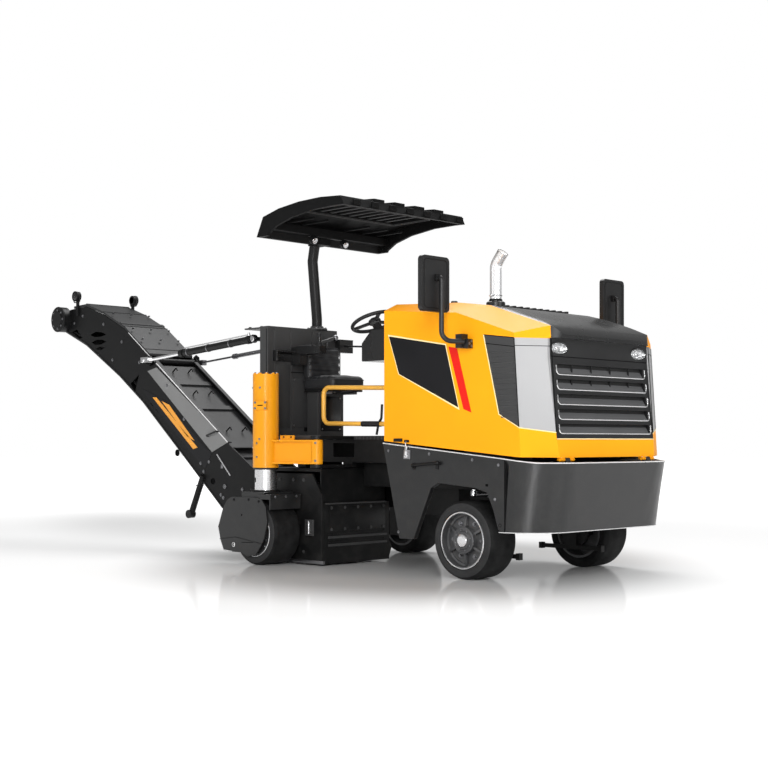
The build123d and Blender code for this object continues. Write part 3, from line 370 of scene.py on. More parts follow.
def boxes(name, rows, mat, body, bevel=0.004, segs=2):
    """Joined blocks; each row is x0, x1, y0, y1, z0, z1 with x from the front axle."""
    v, f = [], []
    for x0, x1, y0, y1, z0, z1 in rows:
        n = len(v)
        v += [(AX + x, y, z) for z in (z0, z1) for y in (y0, y1) for x in (x0, x1)]
        f += [tuple(n + i for i in q) for q in ((0, 1, 3, 2), (4, 6, 7, 5), (0, 4, 5, 1), (2, 3, 7, 6), (0, 2, 6, 4), (1, 5, 7, 3))]
    return raw(name, v, f, mat, body, bevel=bevel, segs=segs)


def plate(name, outline, plane, a, b, mat, body, bevel=0.002, segs=2):
    """Outline in the plane 'xz', 'xy' or 'yz' (x from the front axle), thick from a to b along the third axis."""
    v = []
    for t in (a, b):
        for p, q in outline:
            v.append({"xz": (AX + p, t, q), "xy": (AX + p, q, t), "yz": (AX + t, p, q)}[plane])
    n = len(outline)
    f = [tuple(range(n)), tuple(reversed(range(n, 2 * n)))]
    f += [(i, (i + 1) % n, n + (i + 1) % n, n + i) for i in range(n)]
    return raw(name, v, f, mat, body, bevel=bevel, segs=segs)


def basis(axis):
    a = Vector(axis).normalized()
    u = a.cross(Vector((0, 0, 1)) if abs(a.z) < 0.9 else Vector((1, 0, 0))).normalized()
    return a, u, a.cross(u)


def lathe_data(profile, origin, axis, seg=48, phase=0.0):
    """Profile of (distance along the axis, radius)."""
    a, u, w = basis(axis)
    o = Vector(origin)
    v, f = [], []
    rings = []
    for h, r in profile:
        if r < 1e-6:
            rings.append([len(v)]); v.append(o + a * h)
        else:
            rings.append(list(range(len(v), len(v) + seg)))
            v += [o + a * h + (u * math.cos(t) + w * math.sin(t)) * r for t in (phase + 2 * math.pi * i / seg for i in range(seg))]
    for r0, r1 in zip(rings, rings[1:]):
        for i in range(seg):
            j = (i + 1) % seg
            if len(r0) == 1 and len(r1) == 1:
                continue
            if len(r0) == 1:
                f.append((r0[0], r1[j], r1[i]))
            elif len(r1) == 1:
                f.append((r0[i], r0[j], r1[0]))
            else:
                f.append((r0[i], r0[j], r1[j], r1[i]))
    return v, f


def joined(name, parts, mat, body, **kw):
    v, f = [], []
    for pv, pf in parts:
        n = len(v)
        v += pv
        f += [tuple(n + i for i in q) for q in pf]
    return raw(name, v, f, mat, body, **kw)


def lathe(name, profile, origin, axis, mat, body, seg=48, **kw):
    return joined(name, [lathe_data(profile, origin, axis, seg)], mat, body, **kw)


def tube_data(points, r, seg=12, closed=False, caps=True):
    """Round section swept along points; r may be a list with one radius for each point."""
    pts = [Vector(p) for p in points]
    n = len(pts)
    rad = r if isinstance(r, (list, tuple)) else [r] * n
    tang = []
    for i in range(n):
        a = pts[i - 1] if (i > 0 or closed) else pts[i]
        b = pts[(i + 1) % n] if (i < n - 1 or closed) else pts[i]
        tang.append((b - a).normalized())
    _, u, w = basis(tang[0])
    v, f = [], []
    for i in range(n):
        t = tang[i]
        u = (u - t * u.dot(t)).normalized()
        w = t.cross(u)
        v += [pts[i] + (u * math.cos(2 * math.pi * k / seg) + w * math.sin(2 * math.pi * k / seg)) * rad[i] for k in range(seg)]
    for i in range(n if closed else n - 1):
        for k in range(seg):
            j, m = (i + 1) % n, (k + 1) % seg
            f.append((i * seg + k, i * seg + m, j * seg + m, j * seg + k))
    if caps and not closed:
        f.append(tuple(reversed(range(seg))))
        f.append(tuple(range((n - 1) * seg, n * seg)))
    return v, f


def tube(name, points, r, mat, body, seg=12, closed=False, **kw):
    return joined(name, [tube_data(points, r, seg, closed)], mat, body, **kw)


def rounded(points, radius, steps=6, closed=False):
    """Polyline with its corners turned into arcs."""
    pts = [Vector(p) for p in points]
    out = []
    n = len(pts)
    for i in range(n):
        if not closed and i in (0, n - 1):
            out.append(pts[i]); continue
        p, a, b = pts[i], pts[i - 1], pts[(i + 1) % n]
        da, db = (a - p), (b - p)
        ang = da.angle(db) / 2
        cut = min(radius / math.tan(ang), da.length * 0.49, db.length * 0.49)
        s, e = p + da.normalized() * cut, p + db.normalized() * cut
        for k in range(steps + 1):
            t = k / steps
            out.append(s * (1 - t) ** 2 + p * 2 * t * (1 - t) + e * t * t)
    return out


def hexes(name, rows, r, h, mat, body, washer=True):
    """Hexagon bolt heads with washers; rows of (place, axis)."""
    parts = []
    for pos, axis in rows:
        if washer:
            parts.append(lathe_data([(-0.001, 0), (-0.001, r * 1.45), (h * 0.25, r * 1.45), (h * 0.25, r * 0.9), (h * 0.25, 0)], pos, axis, 16))
        parts.append(lathe_data([(0, 0), (0, r), (h * 0.86, r), (h, r * 0.86), (h, 0)], pos, axis, 6, random.random()))
    return joined(name, parts, mat, body)


def P(x, y, z):
    return Vector((AX + x, y, z))


# ------------------------------------------------------------------ hood front: grille, lamps, border lines
def gx(z):
    """x of the front face at height z."""
    return 0.640 - 0.1004 * (z - 0.959) if z < 1.517 else 0.584 - 0.025 * (z - 1.517)


M["scoop"] = plastic("grille_scoop_grey", (0.075, 0.076, 0.078), rough=0.38, grain=0.05, spec=0.4)
SLOT["scoop"] = "black_plastic"
SLOTS = [(1.395, 1.465, 0.500), (1.295, 1.365, 0.505), (1.195, 1.265, 0.510), (1.095, 1.165, 0.515), (1.000, 1.065, 0.520)]
for i, (z0, z1, half) in enumerate(SLOTS):
    x = gx(z0)
    plate(f"grille_screen_{i}", [(-half + 0.002, z0 + 0.001), (half - 0.002, z0 + 0.001), (half - 0.002, z1 - 0.001), (-half + 0.002, z1 - 0.001)], "yz", x - 0.034, x - 0.030, "screen", "hood", bevel=0)
    # scoop: sheet that slopes down and out to the lip
    v = []
    for px, pz in ((x - 0.028, z0 + 0.046), (x - 0.004, z0 + 0.010), (x + 0.003, z0 + 0.004), (x - 0.004, z0 + 0.001), (x - 0.030, z0 + 0.040)):
        v += [(AX + px, -half + 0.004, pz), (AX + px, half - 0.004, pz)]
    raw(f"grille_scoop_{i}", v, [(0, 1, 3, 2), (2, 3, 5, 4), (4, 5, 7, 6), (6, 7, 9, 8), (8, 9, 1, 0), (0, 2, 4, 6, 8), (9, 7, 5, 3, 1)], "scoop", "hood", smooth=False)
    w = half + 0.014
    lipline = rounded([P(x - 0.002, -w, z0 + 0.062), P(x + 0.004, -w, z0 + 0.001), P(x + 0.004, w, z0 + 0.001), P(x - 0.002, w, z0 + 0.062)], 0.030, 8)
    tube(f"grille_lip_{i}", lipline, 0.0052, "lip", "hood", seg=10)
# low bars of the radiator screen seen through the slots
boxes("grille_mullions", [(gx(1.23) - 0.034, gx(1.23) - 0.026, y - 0.006, y + 0.006, 1.0, 1.47) for y in (-0.33, -0.11, 0.11, 0.33)], "plastic_matt", "hood", bevel=0.001)


def ellipse(cx, cy, cz, a, b, n=40):
    return [P(cx, cy + a * math.cos(2 * math.pi * k / n), cz + b * math.sin(2 * math.pi * k / n)) for k in range(n)]


for s, tag in ((-1, "right"), (1, "left")):
    cy, cz = s * 0.462, 1.571
    rings = [(0.577, 0.0972, 0.0432), (0.572, 0.094, 0.041), (0.556, 0.082, 0.036), (0.546, 0.060, 0.028), (0.541, 0.034, 0.020), (0.540, 0.014, 0.012)]
    v, f = [], []
    for x, a, b in rings:
        v += ellipse(x, cy, cz, a, b, 48)
    for k in range(len(rings) - 1):
        for i in range(48):
            j = (i + 1) % 48
            f.append((k * 48 + i, k * 48 + j, (k + 1) * 48 + j, (k + 1) * 48 + i))
    f.append(tuple(range((len(rings) - 1) * 48, len(rings) * 48)))
    o = raw(f"headlight_bowl_{tag}", v, f, "reflector", "hood")
    # inner lamp: two bulbs with bright collars
    lathe(f"headlight_bulb_{tag}", [(0, 0.013), (0.010, 0.013), (0.012, 0.010), (0.024, 0.009), (0.030, 0.005), (0.031, 0)], P(0.541, cy - 0.006, cz), (1, 0, 0), "chrome", "hood", seg=20)
    lathe(f"headlight_side_bulb_{tag}", [(0, 0.009), (0.008, 0.009), (0.010, 0.007), (0.018, 0.006), (0.019, 0)], P(0.551, cy + s * 0.056, cz - 0.004), (1, 0, 0), "chrome", "hood", seg=16)
    tube(f"headlight_rim_{tag}", ellipse(0.5790, cy, cz, 0.0985, 0.0445, 56), 0.0064, "plastic", "hood", seg=10, closed=True)
    tube(f"headlight_inner_rim_{tag}", ellipse(0.5785, cy, cz, 0.0905, 0.0370, 56), 0.0022, "plastic", "hood", seg=8, closed=True)
    # lens: clear shell in front of the bowl
v, f = [], []
for s in (-1, 1):
    n0 = len(v)
    for x, k in ((0.5775, 1.0), (0.5800, 0.93), (0.5815, 0.72), (0.5820, 0.40)):
        v += ellipse(x, s * 0.462, 1.571, 0.095 * k, 0.0415 * k, 48)
    for k in range(3):
        for i in range(48):
            j = (i + 1) % 48
            f.append((n0 + k * 48 + i, n0 + k * 48 + j, n0 + (k + 1) * 48 + j, n0 + (k + 1) * 48 + i))
    f.append(tuple(range(n0 + 3 * 48, n0 + 4 * 48)))
lens = raw("headlight_lenses", v, f, "glass", "hood")
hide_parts("headlights")

# border lines round the black front and the side vents: the cream lines are painted highlights along the edges, the
# thin black lines painted shadow in the grooves and seams
HIGHLIGHT_LINE_R = 0.0036
tube("front_edge_highlight_low", [P(gx(0.964) + 0.001, -0.563, 0.964), P(gx(0.964) + 0.001, 0.563, 0.964)], HIGHLIGHT_LINE_R, "cream", "hood", seg=8)
tube("front_groove_high", [P(gx(1.515) + 0.0005, -0.555, 1.515), P(gx(1.515) + 0.0005, 0.555, 1.515)], 0.0028, "inner_black", "hood", seg=8)


def corner_point(s, t, z):
    """Point of the corner facet: t from 0 at the side to 1 at the front, on its sloping plane."""
    q0, q1, q2 = Vector((0.464, 0.795, 1.632)), Vector((0.506, 0.795, 1.039)), Vector((0.640, 0.566, 0.959))
    n = (q1 - q0).cross(q2 - q0)
    xs = 0.464 + (1.632 - z) * 0.0708
    y = 0.795 + (0.566 - 0.795) * t
    x = q0.x - (n.y * (y - q0.y) + n.z * (z - q0.z)) / n.x
    return P(x, s * y, z)


for s, tag in ((-1, "right"), (1, "left")):
    lo_line = [corner_point(s, 0.0, 1.037), corner_point(s, 1.0, 1.006)]
    # cream tube: painted highlight on the facet's lower edge; thin black tubes: painted shadow along the facet's edges
    # and seam
    tube(f"facet_edge_highlight_{tag}", lo_line, HIGHLIGHT_LINE_R, "cream", "hood", seg=8)
    tube(f"facet_side_shadow_line_{tag}", [corner_point(s, 0.0, z) for z in (1.042, 1.2, 1.4, 1.630)], 0.0030, "inner_black", "hood", seg=8)
    tube(f"facet_front_shadow_line_{tag}", [corner_point(s, 1.0, z) for z in (1.010, 1.2, 1.4, 1.630)], 0.0030, "inner_black", "hood", seg=8)
    tube(f"facet_seam_shadow_{tag}", [corner_point(s, 0.01, 1.580), corner_point(s, 0.99, 1.580)], 0.0020, "inner_black", "hood", seg=8)
    y = s * 0.7955
    # cream tube: painted highlight on the vent's edge; thin black tubes: painted shadow along its top edge and seam
    tube(f"vent_border_{tag}", [P(0.200, y, 1.664), P(0.335, y, 1.128), P(0.506, y, 1.039)], HIGHLIGHT_LINE_R, "cream", "hood", seg=8)
    tube(f"vent_border_top_{tag}", [P(0.200, y, 1.665), P(0.464, y, 1.632)], 0.0026, "inner_black", "hood", seg=8)
    tube(f"vent_seam_shadow_{tag}", [P(0.215, y, 1.606), P(0.467, y, 1.572)], 0.0022, "inner_black", "hood", seg=8)
    # louvre lines of the vent
    for k in range(13):
        z = 1.545 - 0.036 * k
        xa = 0.200 + (1.664 - z) * 0.2519 + 0.016
        xb = 0.464 + (1.632 - z) * 0.0708 - 0.014
        if xb - xa > 0.03:
            boxes(f"vent_louvre_{tag}_{k}", [(xa, xb, *sorted((s * 0.7935, s * 0.7985)), z - 0.010, z + 0.002)], "plastic_vent", "hood", bevel=0.0015)
    # side decal: black field with a cream outline and a red stripe beside it, no lettering
    field = [(-0.696, 1.703), (-0.149, 1.613), (-0.026, 1.179), (-0.595, 1.429)]
    cx, cz = sum(p[0] for p in field) / 4, sum(p[1] for p in field) / 4
    wide = [(cx + (x - cx) * 1.028, cz + (z - cz) * 1.055) for x, z in field]
    ya, yb = sorted((s * 0.7945, s * 0.7958)); plate(f"decal_outline_{tag}", wide, "xz", ya, yb, "cream", "hood", bevel=0)
    ya, yb = sorted((s * 0.7945, s * 0.7966)); plate(f"decal_field_{tag}", field, "xz", ya, yb, "decal_black", "hood", bevel=0)
    top, bot = ((-0.118, 1.601), (-0.040, 1.587)), ((0.020, 1.168), (0.092, 1.143))
    for k, (t0, t1) in enumerate(((0.0, 1.0),)):
        def at(t, e):
            return (top[e][0] + (bot[e][0] - top[e][0]) * t, top[e][1] + (bot[e][1] - top[e][1]) * t)
        ya, yb = sorted((s * 0.7945, s * 0.7964))
        plate(f"decal_stripe_{tag}_{k}", [at(t0, 0), at(t0, 1), at(t1, 1), at(t1, 0)], "xz", ya, yb, "red", "hood", bevel=0)
    # hinge pads under the front band
    boxes(f"hinge_pad_{tag}", [(0.650, 0.662, *sorted((s * 0.405, s * 0.438)), 0.834, 0.852), (0.650, 0.662, *sorted((s * 0.502, s * 0.535)), 0.834, 0.852)], "yellow", "hood", bevel=0.002)
    hexes(f"hinge_bolts_{tag}", [(P(0.6505, s * y, z), (1, 0, 0)) for y in (0.408, 0.428, 0.512, 0.532) for z in (0.838,)], 0.005, 0.005, "steel", "hood")

# top cover: raised louvre strip, cap, collar, clamp and mouth of the exhaust
fins = []
for k in range(21):
    y = -0.20 + 0.82 * (k + 0.5) / 21
    fins.append((-0.205, -0.155, y - 0.012, y + 0.012, 1.905, 1.934 if k % 2 else 1.940))
boxes("top_louvre_strip", [(-0.212, -0.148, -0.205, 0.625, 1.900, 1.922)] + fins, "plastic", "hood", bevel=0.003)
boxes("top_cap_cross", [(-0.55, -0.47, -0.315, -0.285, 1.925, 1.962), (-0.525, -0.495, -0.345, -0.255, 1.925, 1.962)], "plastic", "hood", bevel=0.006)
lathe("top_cap_neck", [(0, 0.034), (0.02, 0.032), (0.024, 0.026), (0.052, 0.024), (0.055, 0.018), (0.055, 0)], P(-0.51, -0.30, 1.925), (0, 0, 1), "plastic", "hood", seg=24)
lathe("exhaust_collar", [(0, 0.070), (0.030, 0.068), (0.036, 0.060), (0.036, 0.050), (0.050, 0.048), (0.056, 0.044), (0.056, 0.0428)], P(-0.150, -0.255, 1.915), (0, 0, 1), "plastic", "hood", seg=40)
tube("exhaust_clamp", [P(-0.150 + 0.0448 * math.cos(2 * math.pi * k / 32), -0.255 + 0.0448 * math.sin(2 * math.pi * k / 32), 1.995) for k in range(32)], 0.0032, "steel", "hood", seg=8, closed=True)
boxes("exhaust_clamp_lug", [(-0.158, -0.142, -0.312, -0.298, 1.987, 2.003)], "steel", "hood", bevel=0.002)
mouth = Vector((0.066, 0, 0.085)).normalized()
lathe("exhaust_mouth", [(-0.001, 0.0415), (0.0008, 0.0405), (0.0008, 0.037), (-0.012, 0.0365), (-0.012, 0.0)], P(-0.082, -0.255, 2.300), (0.625, 0, 0.78), "inner_black", "hood", seg=36)

# ------------------------------------------------------------------ skirts
for s, tag in ((-1, "right"), (1, "left")):
    y = s * 0.7955
    # light grey tube: painted highlight along the skirt's top edge; the next thin black tube: painted shadow in the
    # seam
    tube(f"skirt_top_line_{tag}", [P(-0.756, y, 0.934), P(0.384, y, 0.830)], 0.0042, "edge", "chassis", seg=8)
    tube(f"skirt_seam_{tag}", [P(0.384, y, 0.826), P(0.384, y, 0.345)], 0.0026, "inner_black", "chassis", seg=8)
    ya, yb = sorted((s * 0.7948, s * 0.8005))
    boxes(f"latch_plate_{tag}", [(-0.548, -0.480, ya, yb, 0.822, 0.886)], "dark_steel", "chassis", bevel=0.002)
    ya, yb = sorted((s * 0.800, s * 0.812))
    boxes(f"latch_{tag}", [(-0.526, -0.503, ya, yb, 0.836, 0.916), (-0.533, -0.496, ya, yb, 0.832, 0.850)], "lip", "chassis", bevel=0.004)
    tube(f"latch_hook_{tag}", rounded([P(-0.5145, s * 0.807, 0.905), P(-0.5145, s * 0.812, 0.935), P(-0.5145, s * 0.804, 0.948)], 0.01, 5), 0.0042, "lip", "chassis", seg=10)
    ya, yb = sorted((s * 0.7948, s * 0.808))
    boxes(f"latch_keep_{tag}", [(-0.640, -0.560, ya, yb, 0.945, 0.968), (-0.535, -0.494, ya, yb, 0.940, 0.958)], "black", "hood", bevel=0.003)
    # pull handle
    tube(f"skirt_handle_{tag}", rounded([P(-0.449, s * 0.797, 0.770), P(-0.445, s * 0.822, 0.778), P(-0.200, s * 0.822, 0.798), P(-0.196, s * 0.797, 0.792)], 0.014, 6), 0.0105, "black", "chassis", seg=14)
    boxes(f"skirt_handle_feet_{tag}", [(-0.462, -0.432, *sorted((s * 0.7945, s * 0.800)), 0.748, 0.796), (-0.238, -0.209, *sorted((s * 0.7945, s * 0.800)), 0.752, 0.812)], "black", "chassis", bevel=0.003)
    boxes(f"skirt_plug_{tag}", [(0.218, 0.240, *sorted((s * 0.7946, s * 0.7975)), 0.645, 0.661)], "inner_black", "chassis", bevel=0.001)
    # black disc in the hole: painted shade
    lathe(f"skirt_hole_{tag}", [(-0.001, 0.012), (0.0012, 0.012), (0.0012, 0.0095), (-0.0005, 0.009), (-0.0005, 0)], P(0.344, s * 0.795, 0.388), (0, s, 0), "inner_black", "chassis", seg=20)
    hexes(f"skirt_bolts_{tag}", [(P(x, s * 0.7955, z), (0, s, 0)) for x, z in ((-0.70, 0.880), (-0.60, 0.300), (-0.30, 0.860), (0.10, 0.822), (0.33, 0.790), (0.30, 0.560))], 0.0075, 0.006, "dark_steel", "chassis")


def skirt_line(z, xf, r, n=14):
    """Plan line of the front skirt's outside at one height, from the right seam round to the left seam."""
    pts = [(0.384, -0.796)]
    for k in range(n + 1):
        a = -math.pi / 2 + math.pi / 2 * k / n
        pts.append((xf - 0.32 + 0.3205 * math.cos(a), -0.475 + 0.3205 * math.sin(a)))
    pts += [(x, -y) for x, y in reversed(pts)]
    return pts


def top_z(x):
    return 0.829 - (x - 0.385) / 0.215 * 0.024 if x < 0.6 else 0.805 - (x - 0.6) * 0.01


# light grey tubes: painted highlights along the front skirt's top and bottom edges
tube("front_skirt_top_line", [P(x, y, top_z(x) + 0.0005) for x, y in skirt_line(0.805, 0.7345, 0.32)], 0.0042, "edge", "chassis", seg=8)
tube("front_skirt_low_line", [P(x, y, 0.3415) for x, y in skirt_line(0.34, 0.655, 0.32)], 0.0030, "edge", "chassis", seg=8)

# ------------------------------------------------------------------ wheels
side_rub = rubber("tyre_side", (0.022, 0.0222, 0.0228), rough=0.7, dusty=0.04)
M["tyre_side"] = side_rub
SLOT["tyre_side"] = "tyre"
WHEELS = [("front_wheel_right", "front_tyre_right", "front_rim_right", (0.0, -0.655, 0.270), -1, 0.270, 0.198),
          ("front_wheel_left", "front_tyre_left", "front_rim_left", (0.0, 0.655, 0.270), 1, 0.270, 0.198),
          ("rear_wheel_right", "rear_tyre_right", "rear_rim_right", (-1.860, -0.9555, 0.250), -1, 0.250, 0.186),
          ("rear_wheel_left", "rear_tyre_left", "rear_rim_left", (-1.850, 0.640, 0.250), 1, 0.250, 0.186)]
for body, tyre, rim, c, s, R, ri in WHEELS:
    o0 = P(*c)
    side = [(-0.128, ri), (-0.1335, ri + 0.004), (-0.1345, ri + 0.016), (-0.1325, ri + 0.019), (-0.1345, ri + 0.023), (-0.1345, R - 0.030), (-0.1315, R - 0.020), (-0.122, R - 0.008), (-0.108, R - 0.0015), (-0.095, R)]
    prof = side + [(-h, r) for h, r in reversed(side)]
    o = lathe(f"{tyre}_body", prof, o0, (0, s, 0), "tyre", body, seg=96)
    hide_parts(tyre)
    lathe(f"{tyre}_side", [(0.1338, ri + 0.005), (0.1349, ri + 0.016), (0.1329, ri + 0.019), (0.1349, ri + 0.023), (0.1349, R - 0.029), (0.1320, R - 0.0195), (0.1295, R - 0.016), (0.128, R - 0.017), (0.128, ri + 0.005), (0.1338, ri + 0.005)], o0, (0, s, 0), "tyre_side", body, seg=96)
    # rim: bright flange ring, ribs in the dish, bolts, stepped hub with its cap
    lathe(f"{rim}_flange", [(0.124, ri - 0.001), (0.1335, ri - 0.001), (0.1355, ri - 0.005), (0.1345, ri - 0.010), (0.128, ri - 0.013), (0.118, ri - 0.0135), (0.118, ri - 0.001)], o0, (0, s, 0), "lip", body, seg=80)
    rb = []
    for k in range(6):
        a = math.radians(30 + 60 * k)
        ca, sa_ = math.cos(a), math.sin(a)
        v = []
        for rr, hh in ((0.094, 0.108), (ri - 0.017, 0.088)):
            for w in (-0.009, 0.009):
                for h in (0.070, hh):
                    v.append(o0 + Vector((ca * rr - sa_ * w, s * h, sa_ * rr + ca * w)))
        rb.append((v, [(0, 1, 3, 2), (4, 6, 7, 5), (0, 4, 5, 1), (2, 3, 7, 6), (0, 2, 6, 4), (1, 5, 7, 3)]))
    joined(f"{rim}_ribs", rb, "rim", body, bevel=0.002)
    lathe(f"{rim}_dish_step", [(0.070, ri - 0.017), (0.086, ri - 0.017), (0.082, ri - 0.030), (0.074, ri - 0.034), (0.070, ri - 0.034)], o0, (0, s, 0), "rim", body, seg=64)
    lathe(f"{rim}_hub_rings", [(0.112, 0.093), (0.121, 0.092), (0.124, 0.088), (0.124, 0.078), (0.121, 0.075), (0.121, 0.066), (0.128, 0.062), (0.1335, 0.058), (0.1335, 0.050), (0.130, 0.047), (0.130, 0.0)], o0, (0, s, 0), "rim", body, seg=56)
    lathe(f"{rim}_hub_cap", [(0.129, 0.044), (0.136, 0.043), (0.1395, 0.038), (0.1405, 0.026), (0.1405, 0.0)], o0, (0, s, 0), "lip", body, seg=40)
    hexes(f"{rim}_bolts", [(o0 + Vector((math.cos(math.radians(a)) * 0.128, s * 0.0728, math.sin(math.radians(a)) * 0.128)), (0, s, 0)) for a in range(0, 360, 60)], 0.012, 0.015, "dark_steel", body)
    hexes(f"{rim}_hub_bolts", [(o0 + Vector((math.cos(math.radians(a)) * 0.070, s * 0.1215, math.sin(math.radians(a)) * 0.070)), (0, s, 0)) for a in range(15, 360, 45)], 0.0055, 0.005, "dark_steel", body, washer=False)
    lathe(f"{rim}_valve", [(0.072, 0.006), (0.090, 0.006), (0.092, 0.004), (0.092, 0)], o0 + Vector((0.0, 0.0, 0.150)), (0, s, 0), "lip", body, seg=12)

# ------------------------------------------------------------------ mirrors
for s, tag, fore in ((-1, "right", 0.0), (1, "left", 0.06)):
    face = fore - 0.098
    cy, cz = s * 0.985, 2.013
    ring = []
    for sx, sz, a0 in ((1, 1, 0), (-1, 1, 90), (-1, -1, 180), (1, -1, 270)):
        for k in range(6):
            a = math.radians(a0 + 18 * k)
            ring.append((cy + sx * (0.1375 - 0.045) + 0.030 * math.cos(a), cz + sz * (0.188 - 0.045) + 0.030 * math.sin(a)))
    plate(f"mirror_glass_{tag}", ring, "yz", face - 0.0025, face + 0.001, "mirror", "hood", bevel=0)
    tube(f"mirror_bezel_{tag}", [P(face + 0.001, y, z) for y, z in ring], 0.005, "plastic_matt", "hood", seg=8, closed=True)
    tube(f"mirror_rear_rib_{tag}", [P(face + 0.037, cy + (y - cy) * 0.93, cz + (z - cz) * 0.95) for y, z in ring], 0.003, "plastic_matt", "hood", seg=8, closed=True)
    boxes(f"mirror_clamp_{tag}", [(fore - 0.066, fore - 0.040, *sorted((s * 0.955, s * 0.995)), 2.032, 2.078)], "plastic_matt", "hood", bevel=0.005)
    hexes(f"mirror_bolts_{tag}", [(P(0.105, s * y, z), (1, 0, 0)) for y, z in ((0.808, 1.592), (0.808, 1.626), (0.830, 1.610))], 0.007, 0.006, "dark_steel", "hood")

# ------------------------------------------------------------------ right leg
hexes("leg_bolts", [(P(x, -0.955 - math.sqrt(max(0.0001, 0.1002 ** 2 - (x + 1.88) ** 2)) if abs(x + 1.88) < 0.099 else -0.965, z), (x + 1.88, -math.sqrt(max(0.0001, 0.1002 ** 2 - (x + 1.88) ** 2)), 0))
                    for x, z in ((-1.955, 0.94), (-1.950, 0.898), (-1.845, 0.965), (-1.870, 0.932), (-1.870, 0.827), (-1.840, 1.36), (-1.930, 1.36))], 0.006, 0.005, "dark_steel", "right_leg")
FN, FT = Vector((0.4384, -0.8988, 0)), Vector((0.8988, 0.4384, 0))
fc = P(-1.88, -0.955, 1.223) + FN * 0.109
hexes("leg_plate_bolts", [(fc + FT * t + Vector((0, 0, z)), FN) for t in (-0.042, 0.042) for z in (-0.022, 0.022)], 0.0065, 0.006, "dark_steel", "right_leg")
# near-black slot: painted shade in the plate's slot
raw("leg_plate_slot", [fc + FT * t + Vector((0, 0, z)) + FN * d for d in (-0.0010, 0.0008) for t, z in ((-0.022, -0.004), (0.022, -0.004), (0.022, 0.004), (-0.022, 0.004))],
    [(0, 1, 2, 3), (7, 6, 5, 4), (0, 4, 5, 1), (1, 5, 6, 2), (2, 6, 7, 3), (3, 7, 4, 0)], "inner_black", "right_leg")
hexes("leg_crown_bolts", [(P(-1.88 + 0.086 * math.cos(math.radians(36 * i)), -0.955 + 0.086 * math.sin(math.radians(36 * i)), 1.4735), (0, 0, 1)) for i in range(10)], 0.0065, 0.007, "dark_steel", "right_leg", washer=False)
hexes("hinge_bolts_leg", [(P(-1.468 + 0.0465 * math.cos(a), -0.795 + 0.0465 * math.sin(a), z), (math.cos(a), math.sin(a), 0)) for a in (math.radians(-58),) for z in (0.800, 0.935)], 0.0065, 0.005, "dark_steel", "right_leg")
lathe("strut_wiper", [(0, 0.0855), (0, 0.096), (0.012, 0.0985), (0.016, 0.0985), (0.016, 0.0858)], P(-1.88, -0.955, 0.730), (0, 0, 1), "grip", "right_leg", seg=48)
lathe("strut_foot_collar", [(0, 0.112), (0.006, 0.112), (0.012, 0.104), (0.012, 0.0860)], P(-1.88, -0.955, 0.5600), (0, 0, 1), "black", "right_leg", seg=48)
boxes("strut_scale", [(-1.9105, -1.8995, -1.0385, -1.0325, 0.632, 0.668)], "inner_black", "right_leg", bevel=0.001)
# guard of the right wheel: black lines as painted shade along its folds, light grey rings as painted highlights on the
# hole and edge rims
tube("guard_fold", [P(-2.252, -1.1115, 0.183), P(-2.06, -1.1115, 0.206), P(-1.742, -1.1115, 0.170)], 0.0026, "black", "right_leg", seg=8)
tube("guard_fold_low", [P(-1.985, -1.1115, 0.168), P(-1.845, -1.1115, 0.176)], 0.0022, "inner_black", "right_leg", seg=8)
tube("guard_hole_rim", [P(-2.083 + 0.0165 * math.cos(math.radians(a)), -1.1108, 0.147 + 0.0165 * math.sin(math.radians(a))) for a in range(0, 360, 20)], 0.0022, "edge", "right_leg", seg=8, closed=True)
tube("guard_edge_rim", [P(x, -1.1105, z) for x, z in ((-2.274, 0.273), (-2.250, 0.182), (-2.209, 0.101), (-2.100, 0.093))], 0.002, "edge", "right_leg", seg=8)
hexes("guard_bolts", [(P(x, -1.1108, z), (0, -1, 0)) for x, z in ((-2.08, 0.495), (-1.90, 0.500), (-1.78, 0.49))], 0.0075, 0.006, "black", "right_leg")
hexes("flap_bolts", [(P(-1.642, y, 0.528), (1, 0, 0)) for y in (-1.06, -0.955, -0.85)], 0.008, 0.006, "dark_steel", "right_leg")

# ------------------------------------------------------------------ drum housing, drum
FX = -1.412
boxes("under_flap", [(-1.95, -1.36, 0.000, 0.012, 0.42, 0.76)], "inner_black", "chassis", bevel=0.002)
boxes("housing_ledge", [(FX - 0.004, FX + 0.010, -0.760, -0.110, 0.466, 0.478)], "black_mid", "chassis", bevel=0.003)
boxes("housing_panel", [(FX - 0.002, FX + 0.005, -0.720, -0.120, 0.262, 0.452)], "black", "chassis", bevel=0.003)
boxes("housing_ribs", [(FX - 0.002, FX + 0.008, -0.735, -0.100, z - 0.010, z + 0.010) for z in (0.215, 0.155)], "black_mid", "chassis", bevel=0.004)
boxes("housing_shoe", [(FX - 0.60, FX + 0.014, -0.796, -0.774, 0.012, 0.040)], "dark_steel", "chassis", bevel=0.004)
plate("housing_end_shoe", [(-0.070, 0.016), (-0.070, 0.190), (-0.020, 0.110), (-0.055, 0.016)], "yz", FX - 0.30, FX - 0.02, "black", "chassis", bevel=0.004)
hexes("housing_bolts", [(P(FX + 0.0055, y, z), (1, 0, 0)) for y in (-0.70, -0.56, -0.42, -0.28, -0.14) for z in (0.44, 0.275)], 0.009, 0.007, "black_mid", "chassis")
boxes("side_plate_bracket", [(-1.600, -1.500, -0.803, -0.794, 0.225, 0.350), (-1.585, -1.515, -0.812, -0.800, 0.330, 0.348), (-1.585, -1.515, -0.812, -0.800, 0.228, 0.246)], "black_mid", "chassis", bevel=0.003)
tube("side_plate_cylinder", [P(-1.55, -0.806, 0.240), P(-1.55, -0.806, 0.338)], 0.0085, "steel", "chassis", seg=16)
hexes("side_plate_bolts", [(P(x, -0.7955, z), (0, -1, 0)) for x in (-2.06, -1.90, -1.74, -1.62) for z in (0.10, 0.65)], 0.010, 0.008, "black_mid", "chassis")
parts, tips = [], []
